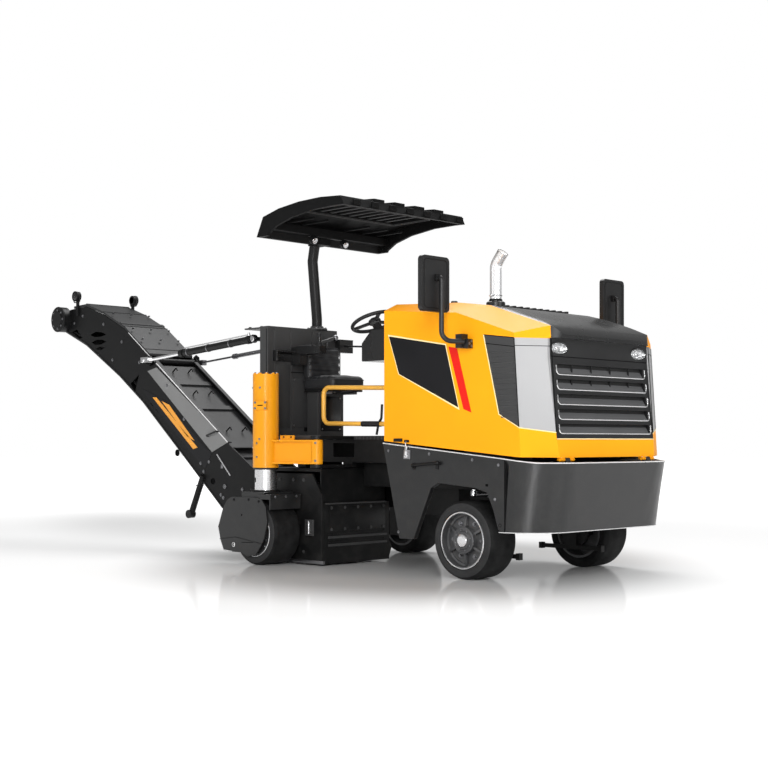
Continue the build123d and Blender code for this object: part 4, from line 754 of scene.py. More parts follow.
for i in range(24):
    a = math.radians(i * 75)
    y = -0.770 + 0.012 + (i + 0.5) * (0.5 - 0.024) / 24
    r = Vector((math.cos(a), 0, math.sin(a)))
    t = Vector((-math.sin(a), 0, math.cos(a)))
    c = Vector((AX - 1.765, y, 0.372)) + r * 0.292
    ax = (t * 0.75 + r * 0.35).normalized()
    parts.append(lathe_data([(0, 0.013), (0.020, 0.0125), (0.026, 0.009), (0.034, 0.008), (0.034, 0)], c, ax, 16))
    tips.append(lathe_data([(0.034, 0.0060), (0.044, 0.0042), (0.050, 0.0)], c, ax, 12))
joined("drum_picks", parts, "dark_steel", "drum")
joined("drum_pick_tips", tips, "carbide", "drum")
lathe("drum_end_plate", [(0, 0.235), (0.004, 0.235), (0.004, 0.12), (0.010, 0.11), (0.010, 0)], P(-1.765, -0.270, 0.372), (0, 1, 0), "dark_steel", "drum", seg=48)

# ------------------------------------------------------------------ operator's place
TX = -2.040
boxes("tower_shelf", [(TX, TX + 0.055, -0.747, -0.366, 1.655, 1.672), (TX, TX + 0.010, -0.747, -0.366, 1.585, 1.655), (TX, TX + 0.050, -0.747, -0.735, 1.585, 1.660)], "plastic_top", "chassis", bevel=0.003)
boxes("tower_block", [(TX, TX + 0.060, -0.265, -0.100, 1.525, 1.614)], "plastic", "chassis", bevel=0.006)
boxes("tower_lower_panel", [(TX, TX + 0.006, -0.545, -0.345, 1.06, 1.46), (TX, TX + 0.006, -0.320, -0.070, 1.06, 1.46), (TX, TX + 0.006, -0.722, -0.575, 1.06, 1.56)], "black_mid", "chassis", bevel=0.003)
# near-black strip: painted shadow in the groove
boxes("tower_groove", [(TX, TX + 0.003, -0.560, -0.070, 1.498, 1.506)], "inner_black", "chassis", bevel=0.0008)
# near-black patch: painted shade in the socket
boxes("tower_socket", [(TX, TX + 0.004, -0.419, -0.365, 1.028, 1.098)], "inner_black", "chassis", bevel=0.002)
tube("t_handle_stem", [P(TX + 0.072, -0.235, 1.700), P(TX + 0.075, -0.232, 1.768)], 0.009, "black_mid", "chassis", seg=14)
tube("t_handle", [P(TX + 0.075, -0.330, 1.742), P(TX + 0.075, -0.130, 1.800)], 0.014, "black_mid", "chassis", seg=18)
lathe("t_handle_boot", [(0, 0.022), (0.010, 0.022), (0.014, 0.016), (0.020, 0.018), (0.024, 0.012), (0.024, 0)], P(TX + 0.072, -0.235, 1.690), (0, 0, 1), "grip", "chassis", seg=24)
boxes("t_handle_block", [(TX, TX + 0.092, -0.300, -0.140, 1.640, 1.692)], "plastic", "chassis", bevel=0.006)
lathe("t_handle_end", [(0, 0.018), (0.006, 0.024), (0.030, 0.024), (0.036, 0.018), (0.036, 0)], P(TX + 0.075, -0.160, 1.790), (0, 1, 0.29), "dark_steel", "chassis", seg=24)
hexes("tower_bolts", [(P(TX + 0.0065, y, z), (1, 0, 0)) for y in (-0.53, -0.36, -0.305, -0.085) for z in (1.075, 1.445)], 0.006, 0.005, "dark_steel", "chassis")
hexes("tower_cap_bolts", [(P(x, y, 1.8625), (0, 0, 1)) for x in (-2.345, -2.20) for y in (-0.73, -0.36)], 0.012, 0.010, "black", "chassis")
# near-black line: painted shadow in the seam on the tower's side
tube("tower_side_line", [P(-2.06, -0.7988, 1.02), P(-2.06, -0.7988, 1.84)], 0.0022, "inner_black", "chassis", seg=8)
boxes("lever_box_lid", [(-2.045, -1.983, -0.076, 0.081, 1.781, 1.789)], "plastic_matt", "chassis", bevel=0.003)
lathe("lever_knob", [(0, 0.010), (0.006, 0.018), (0.020, 0.022), (0.034, 0.018), (0.040, 0.006), (0.041, 0)], P(-1.745, -0.520, 1.765), (0, 0, 1), "grip", "chassis", seg=28)
lathe("lever_boot", [(0, 0.030), (0.006, 0.030), (0.010, 0.024), (0.018, 0.026), (0.022, 0.020), (0.030, 0.021), (0.034, 0.015), (0.034, 0)], P(-1.740, -0.520, 1.700), (0, 0, 1), "grip", "chassis", seg=28)
boxes("armrest_pad", [(-1.99, -1.80, -0.552, -0.488, 1.698, 1.712)], "vinyl", "chassis", bevel=0.006)
for k, (x, y) in enumerate(((-1.775, -0.540), (-1.775, -0.500), (-1.715, -0.540), (-1.715, -0.500))):
    lathe(f"armrest_button_{k}", [(0, 0.0085), (0.004, 0.0085), (0.006, 0.007), (0.006, 0)], P(x, y, 1.700), (0, 0, 1), "black_mid", "chassis", seg=18)
# deck edge, handrail grips, bulkhead frame
boxes("deck_kick_edge", [(-2.148, -1.422, -0.7990, -0.7955, 0.962, 0.994)], "black_mid", "chassis", bevel=0.001)
tube("handrail_sleeve", [P(-1.275, -0.5, 1.0812), P(-1.075, -0.5, 1.0788)], 0.0215, "grip", "chassis", seg=20)
tube("handrail_hook", rounded([P(-1.063, -0.5, 1.227), P(-1.070, -0.5, 1.120), P(-1.100, -0.5, 1.085), P(-1.121, -0.5, 0.998)], 0.03, 5), 0.0095, "black", "chassis", seg=12)
for z in (1.345, 1.075):
    lathe(f"handrail_flange_{int(z * 1000)}", [(0, 0.036), (0.006, 0.036), (0.010, 0.030), (0.010, 0.0185)], P(-0.8005, -0.5, z), (-1, 0, 0), "rail_yellow", "chassis", seg=28)
hexes("handrail_flange_bolts", [(P(-0.807, -0.5 + 0.027 * math.cos(a), z + 0.027 * math.sin(a)), (-1, 0, 0)) for z in (1.345, 1.075) for a in (0.78, 2.35, 3.93, 5.5)], 0.0045, 0.004, "dark_steel", "chassis", washer=False)
boxes("bulkhead_frame", [(-0.806, -0.799, -0.470, 0.650, 1.000, 1.030), (-0.806, -0.799, -0.470, 0.650, 1.800, 1.832), (-0.806, -0.799, -0.470, -0.440, 1.030, 1.800), (-0.806, -0.799, 0.620, 0.650, 1.030, 1.800)], "black_mid", "chassis", bevel=0.003)
boxes("bulkhead_vents", [(-0.808, -0.799, 0.02, 0.50, z, z + 0.014) for z in (1.10, 1.14, 1.18, 1.22, 1.26, 1.30)], "plastic_matt", "chassis", bevel=0.003)
# console: instrument field with plain dials, switches, levers
nrm = Vector((-0.69, 0, 0.724)).normalized()
base = Vector((AX - 1.268, -0.28, 1.7505))
side_v = Vector((0, 1, 0)); up_v = Vector((0.724, 0, 0.69)).normalized()
for k, (dy, du, r) in enumerate(((-0.115, 0.0, 0.040), (0.115, 0.0, 0.040), (-0.035, 0.020, 0.026), (0.045, 0.020, 0.026))):
    c = base + side_v * dy + up_v * du
    lathe(f"dial_bezel_{k}", [(-0.002, r), (0.006, r), (0.008, r * 0.94), (0.006, r * 0.86), (0.002, r * 0.84)], c, nrm, "chrome", "chassis", seg=36)
    lathe(f"dial_face_{k}", [(0.0, r * 0.85), (0.003, r * 0.85), (0.003, 0)], c, nrm, "decal_black", "chassis", seg=36)
    tube(f"dial_needle_{k}", [c + nrm * 0.0042, c + nrm * 0.0042 + up_v * r * 0.62 + side_v * r * (0.25 - 0.2 * k)], 0.0012, "decal_orange", "chassis", seg=6)
for k in range(6):
    c = base + side_v * (-0.14 + 0.056 * k) - up_v * 0.048
    lathe(f"console_switch_{k}", [(0, 0.011), (0.005, 0.011), (0.007, 0.009), (0.007, 0)], c, nrm, ("red", "edge", "edge", "decal_orange", "edge", "edge")[k], "chassis", seg=20)
for k, y in enumerate((-0.40, -0.36, -0.17)):
    tube(f"console_lever_{k}", [P(-1.10, y, 1.798), P(-1.115, y, 1.862)], 0.006, "steel", "chassis", seg=12)
    lathe(f"console_lever_knob_{k}", [(0, 0.006), (0.006, 0.014), (0.018, 0.017), (0.030, 0.013), (0.034, 0.004), (0.0345, 0)], P(-1.115, y, 1.858), (-0.2, 0, 1), "grip", "chassis", seg=24)
    lathe(f"console_lever_boot_{k}", [(0, 0.026), (0.004, 0.026), (0.008, 0.018), (0.014, 0.020), (0.018, 0.013), (0.018, 0.006)], P(-1.10, y, 1.7995), (0, 0, 1), "grip", "chassis", seg=24)
tube("console_trim", [P(-1.3205, -0.459, 1.566), P(-1.3205, -0.459, 1.700), P(-1.2155, -0.459, 1.8005), P(-0.81, -0.459, 1.8005)], 0.003, "plastic_matt", "chassis", seg=8)
# steering wheel: round grip, boss with its cap, bellows on the column
hub = Vector((AX - 1.340, -0.300, 1.871)); hz = Vector((-0.375, 0, 0.927)).normalized()
_, hu, hw = basis(hz)
grip_pts = [hub + hz * 0.010 + (hu * math.cos(2 * math.pi * k / 72) + hw * math.sin(2 * math.pi * k / 72)) * 0.180 for k in range(72)]
tube("steering_grip", grip_pts, 0.0145, "grip", "chassis", seg=16, closed=True)
lathe("steering_boss", [(-0.004, 0.048), (0.014, 0.050), (0.026, 0.046), (0.032, 0.036), (0.034, 0.018), (0.034, 0)], hub, hz, "plastic", "chassis", seg=40)
lathe("steering_boss_cap", [(0.030, 0.030), (0.038, 0.028), (0.040, 0.020), (0.040, 0)], hub, hz, "plastic_top", "chassis", seg=32)
c0, c1 = Vector((AX - 1.262, -0.300, 1.775)), Vector((AX - 1.325, -0.300, 1.853))
prof = []
ln = (c1 - c0).length
for k in range(13):
    prof.append((ln * k / 12, (0.034 if k % 2 else 0.044) - 0.010 * k / 12))
lathe("steering_bellows", [(0, 0.0)] + prof + [(ln, 0.0)], c0, c1 - c0, "grip", "chassis", seg=32)

# seat: padded cushion and back with a sewn welt, on the pedestal
def pad(name, lo, hi, mat, rad, puff, grooves=(), groove_axis=0, seg=30, thick_axis=2, wave=0.0016):
    """Foam pad: a grid-built rounded box whose faces swell, with sewn channels drawn in."""
    lo, hi = Vector(lo), Vector(hi)
    c, h = (lo + hi) / 2, (hi - lo) / 2
    bm = bmesh.new()
    bmesh.ops.create_cube(bm, size=2.0)
    bmesh.ops.subdivide_edges(bm, edges=bm.edges, cuts=seg, use_grid_fill=True)
    for v in bm.verts:
        p = Vector((v.co.x * h.x, v.co.y * h.y, v.co.z * h.z))
        inner = Vector([max(-h[i] + rad, min(h[i] - rad, p[i])) for i in range(3)])
        d = p - inner
        if d.length > 1e-9:
            p = inner + d.normalized() * rad
        u = [p[i] / h[i] for i in range(3)]
        o1, o2 = [i for i in range(3) if i != thick_axis]
        bulge = puff * max(0, 1 - u[o1] ** 2) * max(0, 1 - u[o2] ** 2)
        if u[thick_axis] > 0.5:
            p[thick_axis] += bulge
            for g in grooves:
                p[thick_axis] -= 0.011 * math.exp(-((p[groove_axis] - g) / 0.0075) ** 2)
            p[thick_axis] += wave * math.sin(p[o1] * 61 + p[o2] * 37) * max(0, 1 - u[o1] ** 4)
        v.co = c + p
    me = bpy.data.meshes.new(name)
    bm.to_mesh(me); bm.free()
    o = place(name, me, mat, "chassis", smooth=False)
    for q in me.polygons:
        q.use_smooth = True
    sub = o.modifiers.new("soft", "SUBSURF"); sub.levels = 1; sub.render_levels = 1
    return o


cushion = pad("seat_cushion", P(-2.020, -0.458, 1.356), P(-1.652, -0.102, 1.468), "vinyl", 0.040, 0.014, grooves=(-0.085, -0.028, 0.028, 0.085), groove_axis=0)
back = pad("seat_back", P(-2.028, -0.455, 1.440), P(-1.935, -0.105, 1.706), "vinyl", 0.036, 0.012, grooves=(-0.06, 0.0, 0.06), groove_axis=2, thick_axis=0)
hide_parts("operator_seat")
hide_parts("operator_seat")


def welt(cx, cy, cz, hx, hy, r, plane):
    ring = []
    for sx, sy, a0 in ((1, 1, 0), (-1, 1, 90), (-1, -1, 180), (1, -1, 270)):
        for k in range(7):
            a = math.radians(a0 + 15 * k)
            p, q = sx * (hx - r) + r * math.cos(a), sy * (hy - r) + r * math.sin(a)
            ring.append(P(cx + p, cy + q, cz) if plane == "xy" else P(cx, cy + p, cz + q))
    return ring


tube("seat_cushion_welt", welt(-1.836, -0.280, 1.440, 0.1845, 0.1785, 0.040, "xy"), 0.0042, "piping", "chassis", seg=10, closed=True)
tube("seat_back_welt", welt(-1.950, -0.280, 1.573, 0.1755, 0.133, 0.036, "yz"), 0.0042, "piping", "chassis", seg=10, closed=True)
boxes("seat_pan", [(-2.015, -1.665, -0.440, -0.120, 1.345, 1.362), (-2.034, -2.018, -0.420, -0.140, 1.36, 1.66)], "plastic_matt", "chassis", bevel=0.004)
boxes("seat_rails", [(-2.00, -1.70, y - 0.012, y + 0.012, 1.325, 1.347) for y in (-0.40, -0.16)], "dark_steel", "chassis", bevel=0.002)
tube("seat_adjuster", [P(-1.70, -0.42, 1.335), P(-1.66, -0.45, 1.325), P(-1.62, -0.455, 1.322)], 0.006, "black", "chassis", seg=10)
boxes("pedestal_panel", [(-1.871, -1.866, -0.39, -0.17, 1.03, 1.31)], "plastic_top", "chassis", bevel=0.003)
hexes("pedestal_bolts", [(P(-1.8655, y, z), (1, 0, 0)) for y in (-0.375, -0.185) for z in (1.045, 1.295)], 0.006, 0.005, "dark_steel", "chassis")

# ------------------------------------------------------------------ canopy
frame_out = [(-1.505, -0.905), (-1.085, -0.905), (-1.085, 0.065), (-1.505, 0.065)]
tube("hatch_outline", rounded([P(x, y, 2.688) for x, y in frame_out], 0.03, 5, closed=True), 0.0040, "conveyor_light", "chassis", seg=8, closed=True)
teeth = [(-1.480, -1.110, y, y + 0.030, 2.700, 2.712) for y in (-0.86, -0.76, -0.66, -0.56, -0.46, -0.36, -0.26, -0.16, -0.06)]
boxes("hatch_ribs", teeth, "plastic_matt", "chassis", bevel=0.002)
boxes("canopy_cross_ribs", [(-1.86, -1.56, y, y + 0.014, 2.655, 2.672) for y in (-0.75, -0.60, -0.15, 0.05, 0.22)], "canopy", "chassis", bevel=0.002)
for k, y in enumerate((-0.46, -0.12)):
    lathe(f"canopy_lamp_{k}", [(0, 0.030), (0.018, 0.036), (0.046, 0.036), (0.050, 0.032), (0.046, 0.030), (0.030, 0.0)], P(-1.90, y, 2.570), (0.86, 0, -0.5), "plastic_matt", "chassis", seg=28)
    lathe(f"canopy_lamp_glass_{k}", [(0.040, 0.030), (0.047, 0.024), (0.049, 0.0)], P(-1.90, y, 2.570), (0.86, 0, -0.5), "reflector", "chassis", seg=28)
boxes("canopy_lamp_bracket", [(-1.935, -1.895, -0.475, -0.105, 2.590, 2.602)], "black", "chassis", bevel=0.002)
rib = []
for k in range(7):
    y = -0.82 + 0.19 * k
    rib.append((-1.052, -1.036, y, y + 0.075, 2.694, 2.738))
boxes("canopy_front_ribs", rib, "canopy", "chassis", bevel=0.006)
hexes("canopy_bolts", [(P(x, y, z), (0, 0, 1)) for x, z in ((-1.74, 2.7415), (-1.30, 2.7675)) for y in (-0.84, 0.33)], 0.010, 0.008, "dark_steel", "chassis")
lathe("post_foot", [(0, 0.085), (0.010, 0.085), (0.014, 0.078), (0.014, 0.058), (0.030, 0.052), (0.034, 0.0425)], P(-2.085, -0.237, 1.8615), (0, 0, 1), "black_mid", "chassis", seg=40)
hexes("post_foot_bolts", [(P(-2.085 + 0.070 * math.cos(a), -0.237 + 0.070 * math.sin(a), 1.8745), (0, 0, 1)) for a in (0.78, 2.35, 3.93, 5.5)], 0.008, 0.008, "dark_steel", "chassis")

# ------------------------------------------------------------------ conveyor
YC = -0.405
YR, YL = -0.6455, -0.1645
for yy, s, tag in ((YR, -1, "right"), (YL, 1, "left")):
    def flat(name, outline, mat, d=0.0016):
        a, b = sorted((yy + s * -0.0005, yy + s * d))
        return plate(f"{name}_{tag}", outline, "xz", a, b, mat, "conveyor", bevel=0)
    flat("conveyor_band", [(-3.893, 1.576), (-3.756, 1.604), (-2.743, 0.939), (-2.956, 0.856)], "band_grey")
    flat("conveyor_field", [(-3.963, 1.417), (-3.621, 1.302), (-3.07, 0.907), (-2.956, 0.850), (-3.05, 0.715), (-3.229, 0.835), (-3.882, 1.321)], "decal_black", 0.0013)
    flat("conveyor_stripe_a", [(-3.813, 1.339), (-3.756, 1.338), (-3.154, 0.894), (-3.218, 0.881)], "decal_orange", 0.0024)
    flat("conveyor_stripe_b", [(-3.677, 1.303), (-3.565, 1.268), (-3.197, 0.951), (-3.303, 0.990)], "decal_orange", 0.0024)
    yl = yy + s * 0.0015
    # light grey tubes: painted highlights along the conveyor's side edges
    tube(f"conveyor_edge_high_{tag}", [P(-4.187, yl, 1.936), P(-3.860, yl, 1.708)], 0.0040, "edge", "conveyor", seg=8)
    tube(f"conveyor_edge_low_{tag}", [P(-3.756, yl, 1.640), P(-2.743, yl, 0.940)], 0.0048, "edge", "conveyor", seg=8)
    boxes(f"conveyor_rail_pads_{tag}", [(-2.83, -2.80, *sorted((yy, yy + s * 0.006)), 0.72, 0.76)], "dark_steel", "conveyor", bevel=0.001)
    tube(f"conveyor_rail_line_{tag}", [P(-2.885, yl, 0.838), P(-2.703, yl, 0.660)], 0.0065, "lip", "conveyor", seg=10)
    tube(f"conveyor_grab_{tag}", rounded([P(-3.008, yy, 0.990), P(-3.000, yy + s * 0.028, 0.996), P(-2.872, yy + s * 0.028, 1.030), P(-2.864, yy, 1.033)], 0.012, 5), 0.0075, "plastic", "conveyor", seg=12)
    tube(f"conveyor_low_rail_{tag}", [P(-3.950, yl, 1.300), P(-2.812, yl, 0.392)], 0.0060, "conveyor_light", "conveyor", seg=10)
    tube(f"conveyor_head_rail_{tag}", [P(-5.385, yl, 2.068), P(-4.885, yl, 1.868), P(-4.345, yl, 1.562), P(-3.985, yl, 1.325)], 0.0060, "conveyor_light", "conveyor", seg=10)
    hexes(f"conveyor_bolts_{tag}", [(P(x, yy, z), (0, s, 0)) for x, z in ((-2.998, 0.773), (-3.07, 0.690), (-3.112, 0.759), (-2.834, 0.498), (-2.803, 0.474), (-2.55, 0.55), (-2.50, 0.45), (-2.40, 0.55),
                                                                       (-3.35, 1.14), (-3.60, 1.44), (-4.02, 1.66), (-4.30, 1.86), (-4.60, 2.04), (-4.95, 2.14), (-5.10, 2.08), (-4.45, 1.70))], 0.0105, 0.008, "dark_steel", "conveyor")
    for k, (x, z, r) in enumerate(((-2.946, 0.609, 0.026), (-2.783, 0.569, 0.020), (-3.444, 0.847, 0.030))):
        lathe(f"conveyor_boss_{tag}_{k}", [(-0.0005, r), (0.004, r), (0.006, r * 0.9), (0.006, r * 0.62), (0.001, r * 0.58), (0.001, 0)], P(x, yy, z), (0, s, 0), ("inner_black", "dark_steel", "inner_black")[k], "conveyor", seg=28)
    # tensioner of the tail pulley
    boxes(f"tail_guide_{tag}", [(-2.44, -2.30, *sorted((yy, yy + s * 0.010)), 0.480, 0.500), (-2.44, -2.30, *sorted((yy, yy + s * 0.010)), 0.545, 0.565)], "black", "conveyor", bevel=0.002)
# cover seams, handles and lamp heads
line = [(-2.760, 0.900), (-3.180, 1.190), (-3.810, 1.627)]
for k, (x, z) in enumerate(((-2.93, 1.0175), (-3.40, 1.3426), (-3.70, 1.5507))):
    n = Vector((-0.566, 0, 0.824)).normalized()
    c = P(x, YC, z)
    d = Vector((0.824, 0, 0.566))
    for s in (-1, 1):
        a = c + Vector((0, s * 0.085, 0))
        tube(f"cover_handle_{k}_{'r' if s < 0 else 'l'}", rounded([a - d * 0.05 - n * 0.002, a - d * 0.05 + n * 0.030, a + d * 0.05 + n * 0.030, a + d * 0.05 - n * 0.002], 0.014, 5), 0.006, "black", "conveyor", seg=10)
top = [(-3.870, 1.736), (-4.260, 2.003), (-4.600, 2.156), (-4.890, 2.251), (-5.110, 2.243)]
# black tubes: painted shadow in the cover's seams
for k, (x, z) in enumerate(((-3.93, 1.777), (-4.26, 2.003), (-4.60, 2.156), (-4.89, 2.251))):
    tube(f"cover_seam_{k}", [P(x, YC - 0.240, z + 0.001), P(x, YC + 0.240, z + 0.001)], 0.0035, "black", "conveyor", seg=8)
hexes("cover_screws", [(P(x + 0.02, y, z + 0.016), (-0.5, 0, 0.86)) for x, z in ((-4.20, 1.962), (-4.52, 2.120), (-4.05, 1.859)) for y in (YC - 0.20, YC, YC + 0.20)], 0.008, 0.006, "dark_steel", "conveyor")
for tag, x, z, y in (("near", -5.025, 2.330, YC - 0.260), ("far", -4.842, 2.315, YC + 0.260)):
    s = -1 if tag == "near" else 1
    lathe(f"work_lamp_{tag}", [(-0.022, 0.0), (-0.022, 0.030), (-0.010, 0.046), (0.018, 0.049), (0.024, 0.049), (0.024, 0.041), (0.020, 0.038), (0.020, 0.0)], P(x, y, z), (0, s, 0), "plastic_matt", "conveyor", seg=36)
    lathe(f"work_lamp_glass_{tag}", [(0.019, 0.040), (0.023, 0.034), (0.026, 0.018), (0.0265, 0)], P(x, y, z), (0, s, 0), "plastic_top", "conveyor", seg=36)
    tube(f"work_lamp_yoke_{tag}", rounded([P(x - 0.052, y, z), P(x - 0.052, y, z - 0.056), P(x + 0.052, y, z - 0.056), P(x + 0.052, y, z)], 0.02, 5), 0.005, "black", "conveyor", seg=10)
# drive motor on the head shaft
HX, HZ = -5.265, 2.122
lathe("head_motor", [(0.0, 0.118), (0.008, 0.122), (0.010, 0.122), (0.010, 0.104), (0.014, 0.100), (0.014, 0.078), (0.026, 0.074), (0.026, 0.0)], P(HX, YC - 0.310, HZ), (0, -1, 0), "black", "conveyor", seg=48)
hexes("head_motor_bolts", [(P(HX + 0.088 * math.cos(math.radians(a)), YC - 0.324, HZ + 0.088 * math.sin(math.radians(a))), (0, -1, 0)) for a in range(0, 360, 45)], 0.008, 0.007, "dark_steel", "conveyor")
lathe("head_bearing_left", [(0, 0.062), (0.014, 0.060), (0.018, 0.050), (0.018, 0.030), (0.026, 0.026), (0.026, 0)], P(HX, YC + 0.240, HZ), (0, 1, 0), "black", "conveyor", seg=36)
lathe("head_lagging", [(-0.222, 0.0), (-0.222, 0.0785), (-0.215, 0.0800), (0.215, 0.0800), (0.222, 0.0785), (0.222, 0.0)], P(HX, YC, HZ), (0, 1, 0), "grip", "conveyor", seg=48)
# belt cleats
import_line = [(-2.330, 0.610), (-2.740, 0.830), (-3.870, 1.590), (-4.270, 1.865), (-4.610, 2.015), (-4.890, 2.100), (-5.180, 2.100)]
cl = []
acc, step = 0.0, 0.16
for (x0, z0), (x1, z1) in zip(import_line, import_line[1:]):
    ln = math.hypot(x1 - x0, z1 - z0)
    t = step - acc if acc else 0.08
    while t < ln:
        x, z = x0 + (x1 - x0) * t / ln, z0 + (z1 - z0) * t / ln
        d = Vector(((x1 - x0) / ln, 0, (z1 - z0) / ln))
        n = Vector((-d.z, 0, d.x))
        if n.z < 0:
            n = -n
        c = P(x, YC, z)
        v = []
        for yy2 in (-0.19, 0.19):
            for a_, b_ in ((-0.006, -0.001), (0.006, -0.001), (0.004, 0.018), (-0.004, 0.018)):
                v.append(c + d * a_ + n * b_ + Vector((0, yy2, 0)))
        cl.append((v, [(0, 1, 2, 3), (7, 6, 5, 4), (0, 4, 5, 1), (1, 5, 6, 2), (2, 6, 7, 3), (3, 7, 4, 0)]))
        t += step
    acc = (ln - (t - step)) % step
joined("belt_cleats", cl, "belt", "conveyor")
lathe("prop_foot", [(0, 0.030), (0.004, 0.036), (0.022, 0.036), (0.026, 0.030), (0.026, 0)], P(-3.240, YC - 0.258, 0.322), (0, -1, 0), "grip", "conveyor", seg=28)
tube("prop_pin", [P(-3.115, YC - 0.290, 0.570), P(-3.115, YC - 0.210, 0.570)], 0.006, "steel", "conveyor", seg=12)
# cross tube lugs
for s, tag in ((-1, "right"), (1, "left")):
    y = YC + s * 0.290
    lathe(f"lug_ring_{tag}", [(-0.016, 0.031), (-0.016, 0.046), (0.004, 0.046), (0.004, 0.031)], P(-3.850, YC + s * 0.262, 1.665), (0, s, 0), "black", "conveyor", seg=36)
plate("lug_arch", [(-3.900, 1.665), (-3.890, 1.720), (-3.850, 1.742), (-3.810, 1.720), (-3.800, 1.665), (-3.822, 1.665), (-3.830, 1.700), (-3.850, 1.712), (-3.870, 1.700), (-3.878, 1.665)], "xz", YC + 0.262, YC + 0.274, "black", "conveyor", bevel=0.002)
# lift cylinder: gland, end cap, pipe along the tube, bright fittings
pa, pb = P(-2.340, 0, 1.780), P(-3.850, 0, 1.665)
al = (pb - pa).normalized()
up2 = Vector((al.z, 0, -al.x)); up2 = up2 if up2.z > 0 else -up2
for s, body, rod_body, rt, rr in ((-1, "lift_cylinder", "lift_rod", 0.030, 0.015), (1, "stay_tube", "stay_rod", 0.018, 0.009)):
    y = YC + s * 0.290
    a0 = Vector((pa.x, y, pa.z))
    tagc = "right" if s < 0 else "left"
    lathe(f"gland_{tagc}", [(0.945, rt), (0.945, rt + 0.006), (0.990, rt + 0.006), (0.996, rt + 0.002), (0.998, rr + 0.004), (0.998, rr + 0.0008)], a0, al, "black" if s < 0 else "dark_steel", body, seg=32)
    lathe(f"base_cap_{tagc}", [(0.040, rt - 0.004), (0.044, rt + 0.005), (0.078, rt + 0.005), (0.082, rt)], a0, al, "black" if s < 0 else "dark_steel", body, seg=32)
    if s < 0:
        q = rt + 0.012
        tube("lift_pipe", rounded([a0 + al * 0.070 + up2 * rt, a0 + al * 0.075 + up2 * q, a0 + al * 0.930 + up2 * q, a0 + al * 0.950 + up2 * (rt + 0.004)], 0.012, 5), 0.0048, "lip", body, seg=12)
        for k, t in enumerate((0.30, 0.60, 0.88)):
            lathe(f"lift_pipe_clip_{k}", [(t - 0.006, rt), (t - 0.006, rt + 0.0035), (t + 0.006, rt + 0.0035), (t + 0.006, rt)], a0, al, "dark_steel", body, seg=28)
        lathe("lift_port", [(0, 0.012), (0.020, 0.012), (0.022, 0.008), (0.030, 0.008), (0.030, 0)], a0 + al * 0.062 + up2 * (rt - 0.002), up2, "lip", body, seg=18)
    lathe(f"pin_head_{tagc}", [(0, 0.024), (0.006, 0.024), (0.009, 0.020), (0.009, 0)], Vector((pa.x, y + s * 0.0145, pa.z)), (0, s, 0), "lip", "conveyor_slew", seg=28)
    lathe(f"rod_eye_pin_{tagc}", [(0, 0.020), (0.005, 0.020), (0.008, 0.016), (0.008, 0)], Vector((pb.x, y + s * 0.034, pb.z)), (0, s, 0), "lip", rod_body, seg=24)
# turntable bolts
hexes("turntable_bolts", [(P(-2.340 + 0.110 * math.cos(math.radians(a)), YC + 0.110 * math.sin(math.radians(a)), 0.1895), (0, 0, 1)) for a in range(20, 380, 40)], 0.010, 0.008, "dark_steel", "conveyor_slew")

# ------------------------------------------------------------------ engine bay
boxes("engine_head_cover", [(-0.370, 0.210, -0.165, 0.165, 1.499, 1.545), (-0.33, 0.17, -0.10, 0.10, 1.545, 1.560)], "dark_steel", "chassis", bevel=0.010)
lathe("oil_cap", [(0, 0.030), (0.020, 0.032), (0.024, 0.028), (0.024, 0)], P(-0.20, 0.05, 1.558), (0, 0, 1), "grip", "chassis", seg=24)
lathe("crank_pulley", [(0, 0.0), (0, 0.105), (0.010, 0.105), (0.016, 0.092), (0.022, 0.105), (0.030, 0.105), (0.036, 0.092), (0.042, 0.105), (0.050, 0.105), (0.050, 0.04), (0.060, 0.035), (0.060, 0)], P(0.218, 0.0, 1.235), (1, 0, 0), "dark_steel", "chassis", seg=48)
lathe("fan_hub", [(0, 0.0), (0, 0.055), (0.030, 0.055), (0.036, 0.045), (0.036, 0)], P(0.285, 0.0, 1.235), (1, 0, 0), "black", "chassis", seg=32)
fb = []
for k in range(7):
    a = 2 * math.pi * k / 7
    r0, r1 = Vector((0, math.cos(a), math.sin(a))), Vector((0, math.cos(a + 0.42), math.sin(a + 0.42)))
    c = P(0.300, 0.0, 1.235)
    v = []
    for dx in (0.0, 0.004):
        v += [c + Vector((dx - 0.018, 0, 0)) + r0 * 0.050, c + Vector((dx - 0.020, 0, 0)) + r0 * 0.225, c + Vector((dx + 0.022, 0, 0)) + r1 * 0.225, c + Vector((dx + 0.016, 0, 0)) + r1 * 0.050]
    fb.append((v, [(0, 1, 2, 3), (7, 6, 5, 4), (0, 4, 5, 1), (1, 5, 6, 2), (2, 6, 7, 3), (3, 7, 4, 0)]))
joined("fan_blades", fb, "plastic_matt", "chassis")
boxes("radiator_fins", [(0.339, 0.3455, -0.395 + 0.0225 * k, -0.390 + 0.0225 * k, 0.80, 1.47) for k in range(36)], "plastic_matt", "chassis", bevel=0)
boxes("radiator_fins_front", [(0.4245, 0.431, -0.395 + 0.0225 * k, -0.390 + 0.0225 * k, 0.80, 1.47) for k in range(36)], "plastic_matt", "chassis", bevel=0)
boxes("rocker_bolts_bar", [(-0.36, 0.20, y - 0.006, y + 0.006, 1.543, 1.549) for y in (-0.15, 0.15)], "black", "chassis", bevel=0.001)
parts = []
for k in range(4):
    x = -0.30 + 0.13 * k
    parts.append(tube_data(rounded([P(x, -0.190, 1.430), P(x, -0.235, 1.430), P(x + 0.02, -0.250, 1.385)], 0.025, 5), 0.022, 16))
joined("exhaust_runners", parts, "cast", "chassis")
tube("exhaust_manifold", [P(-0.34, -0.258, 1.372), P(0.13, -0.258, 1.372)], 0.030, "cast", "chassis", seg=20)
lathe("oil_filter", [(0, 0.0), (0, 0.046), (0.008, 0.050), (0.115, 0.050), (0.122, 0.044), (0.128, 0.044), (0.128, 0)], P(-0.05, -0.305, 0.900), (0, 0, 1), "cream", "chassis", seg=36)
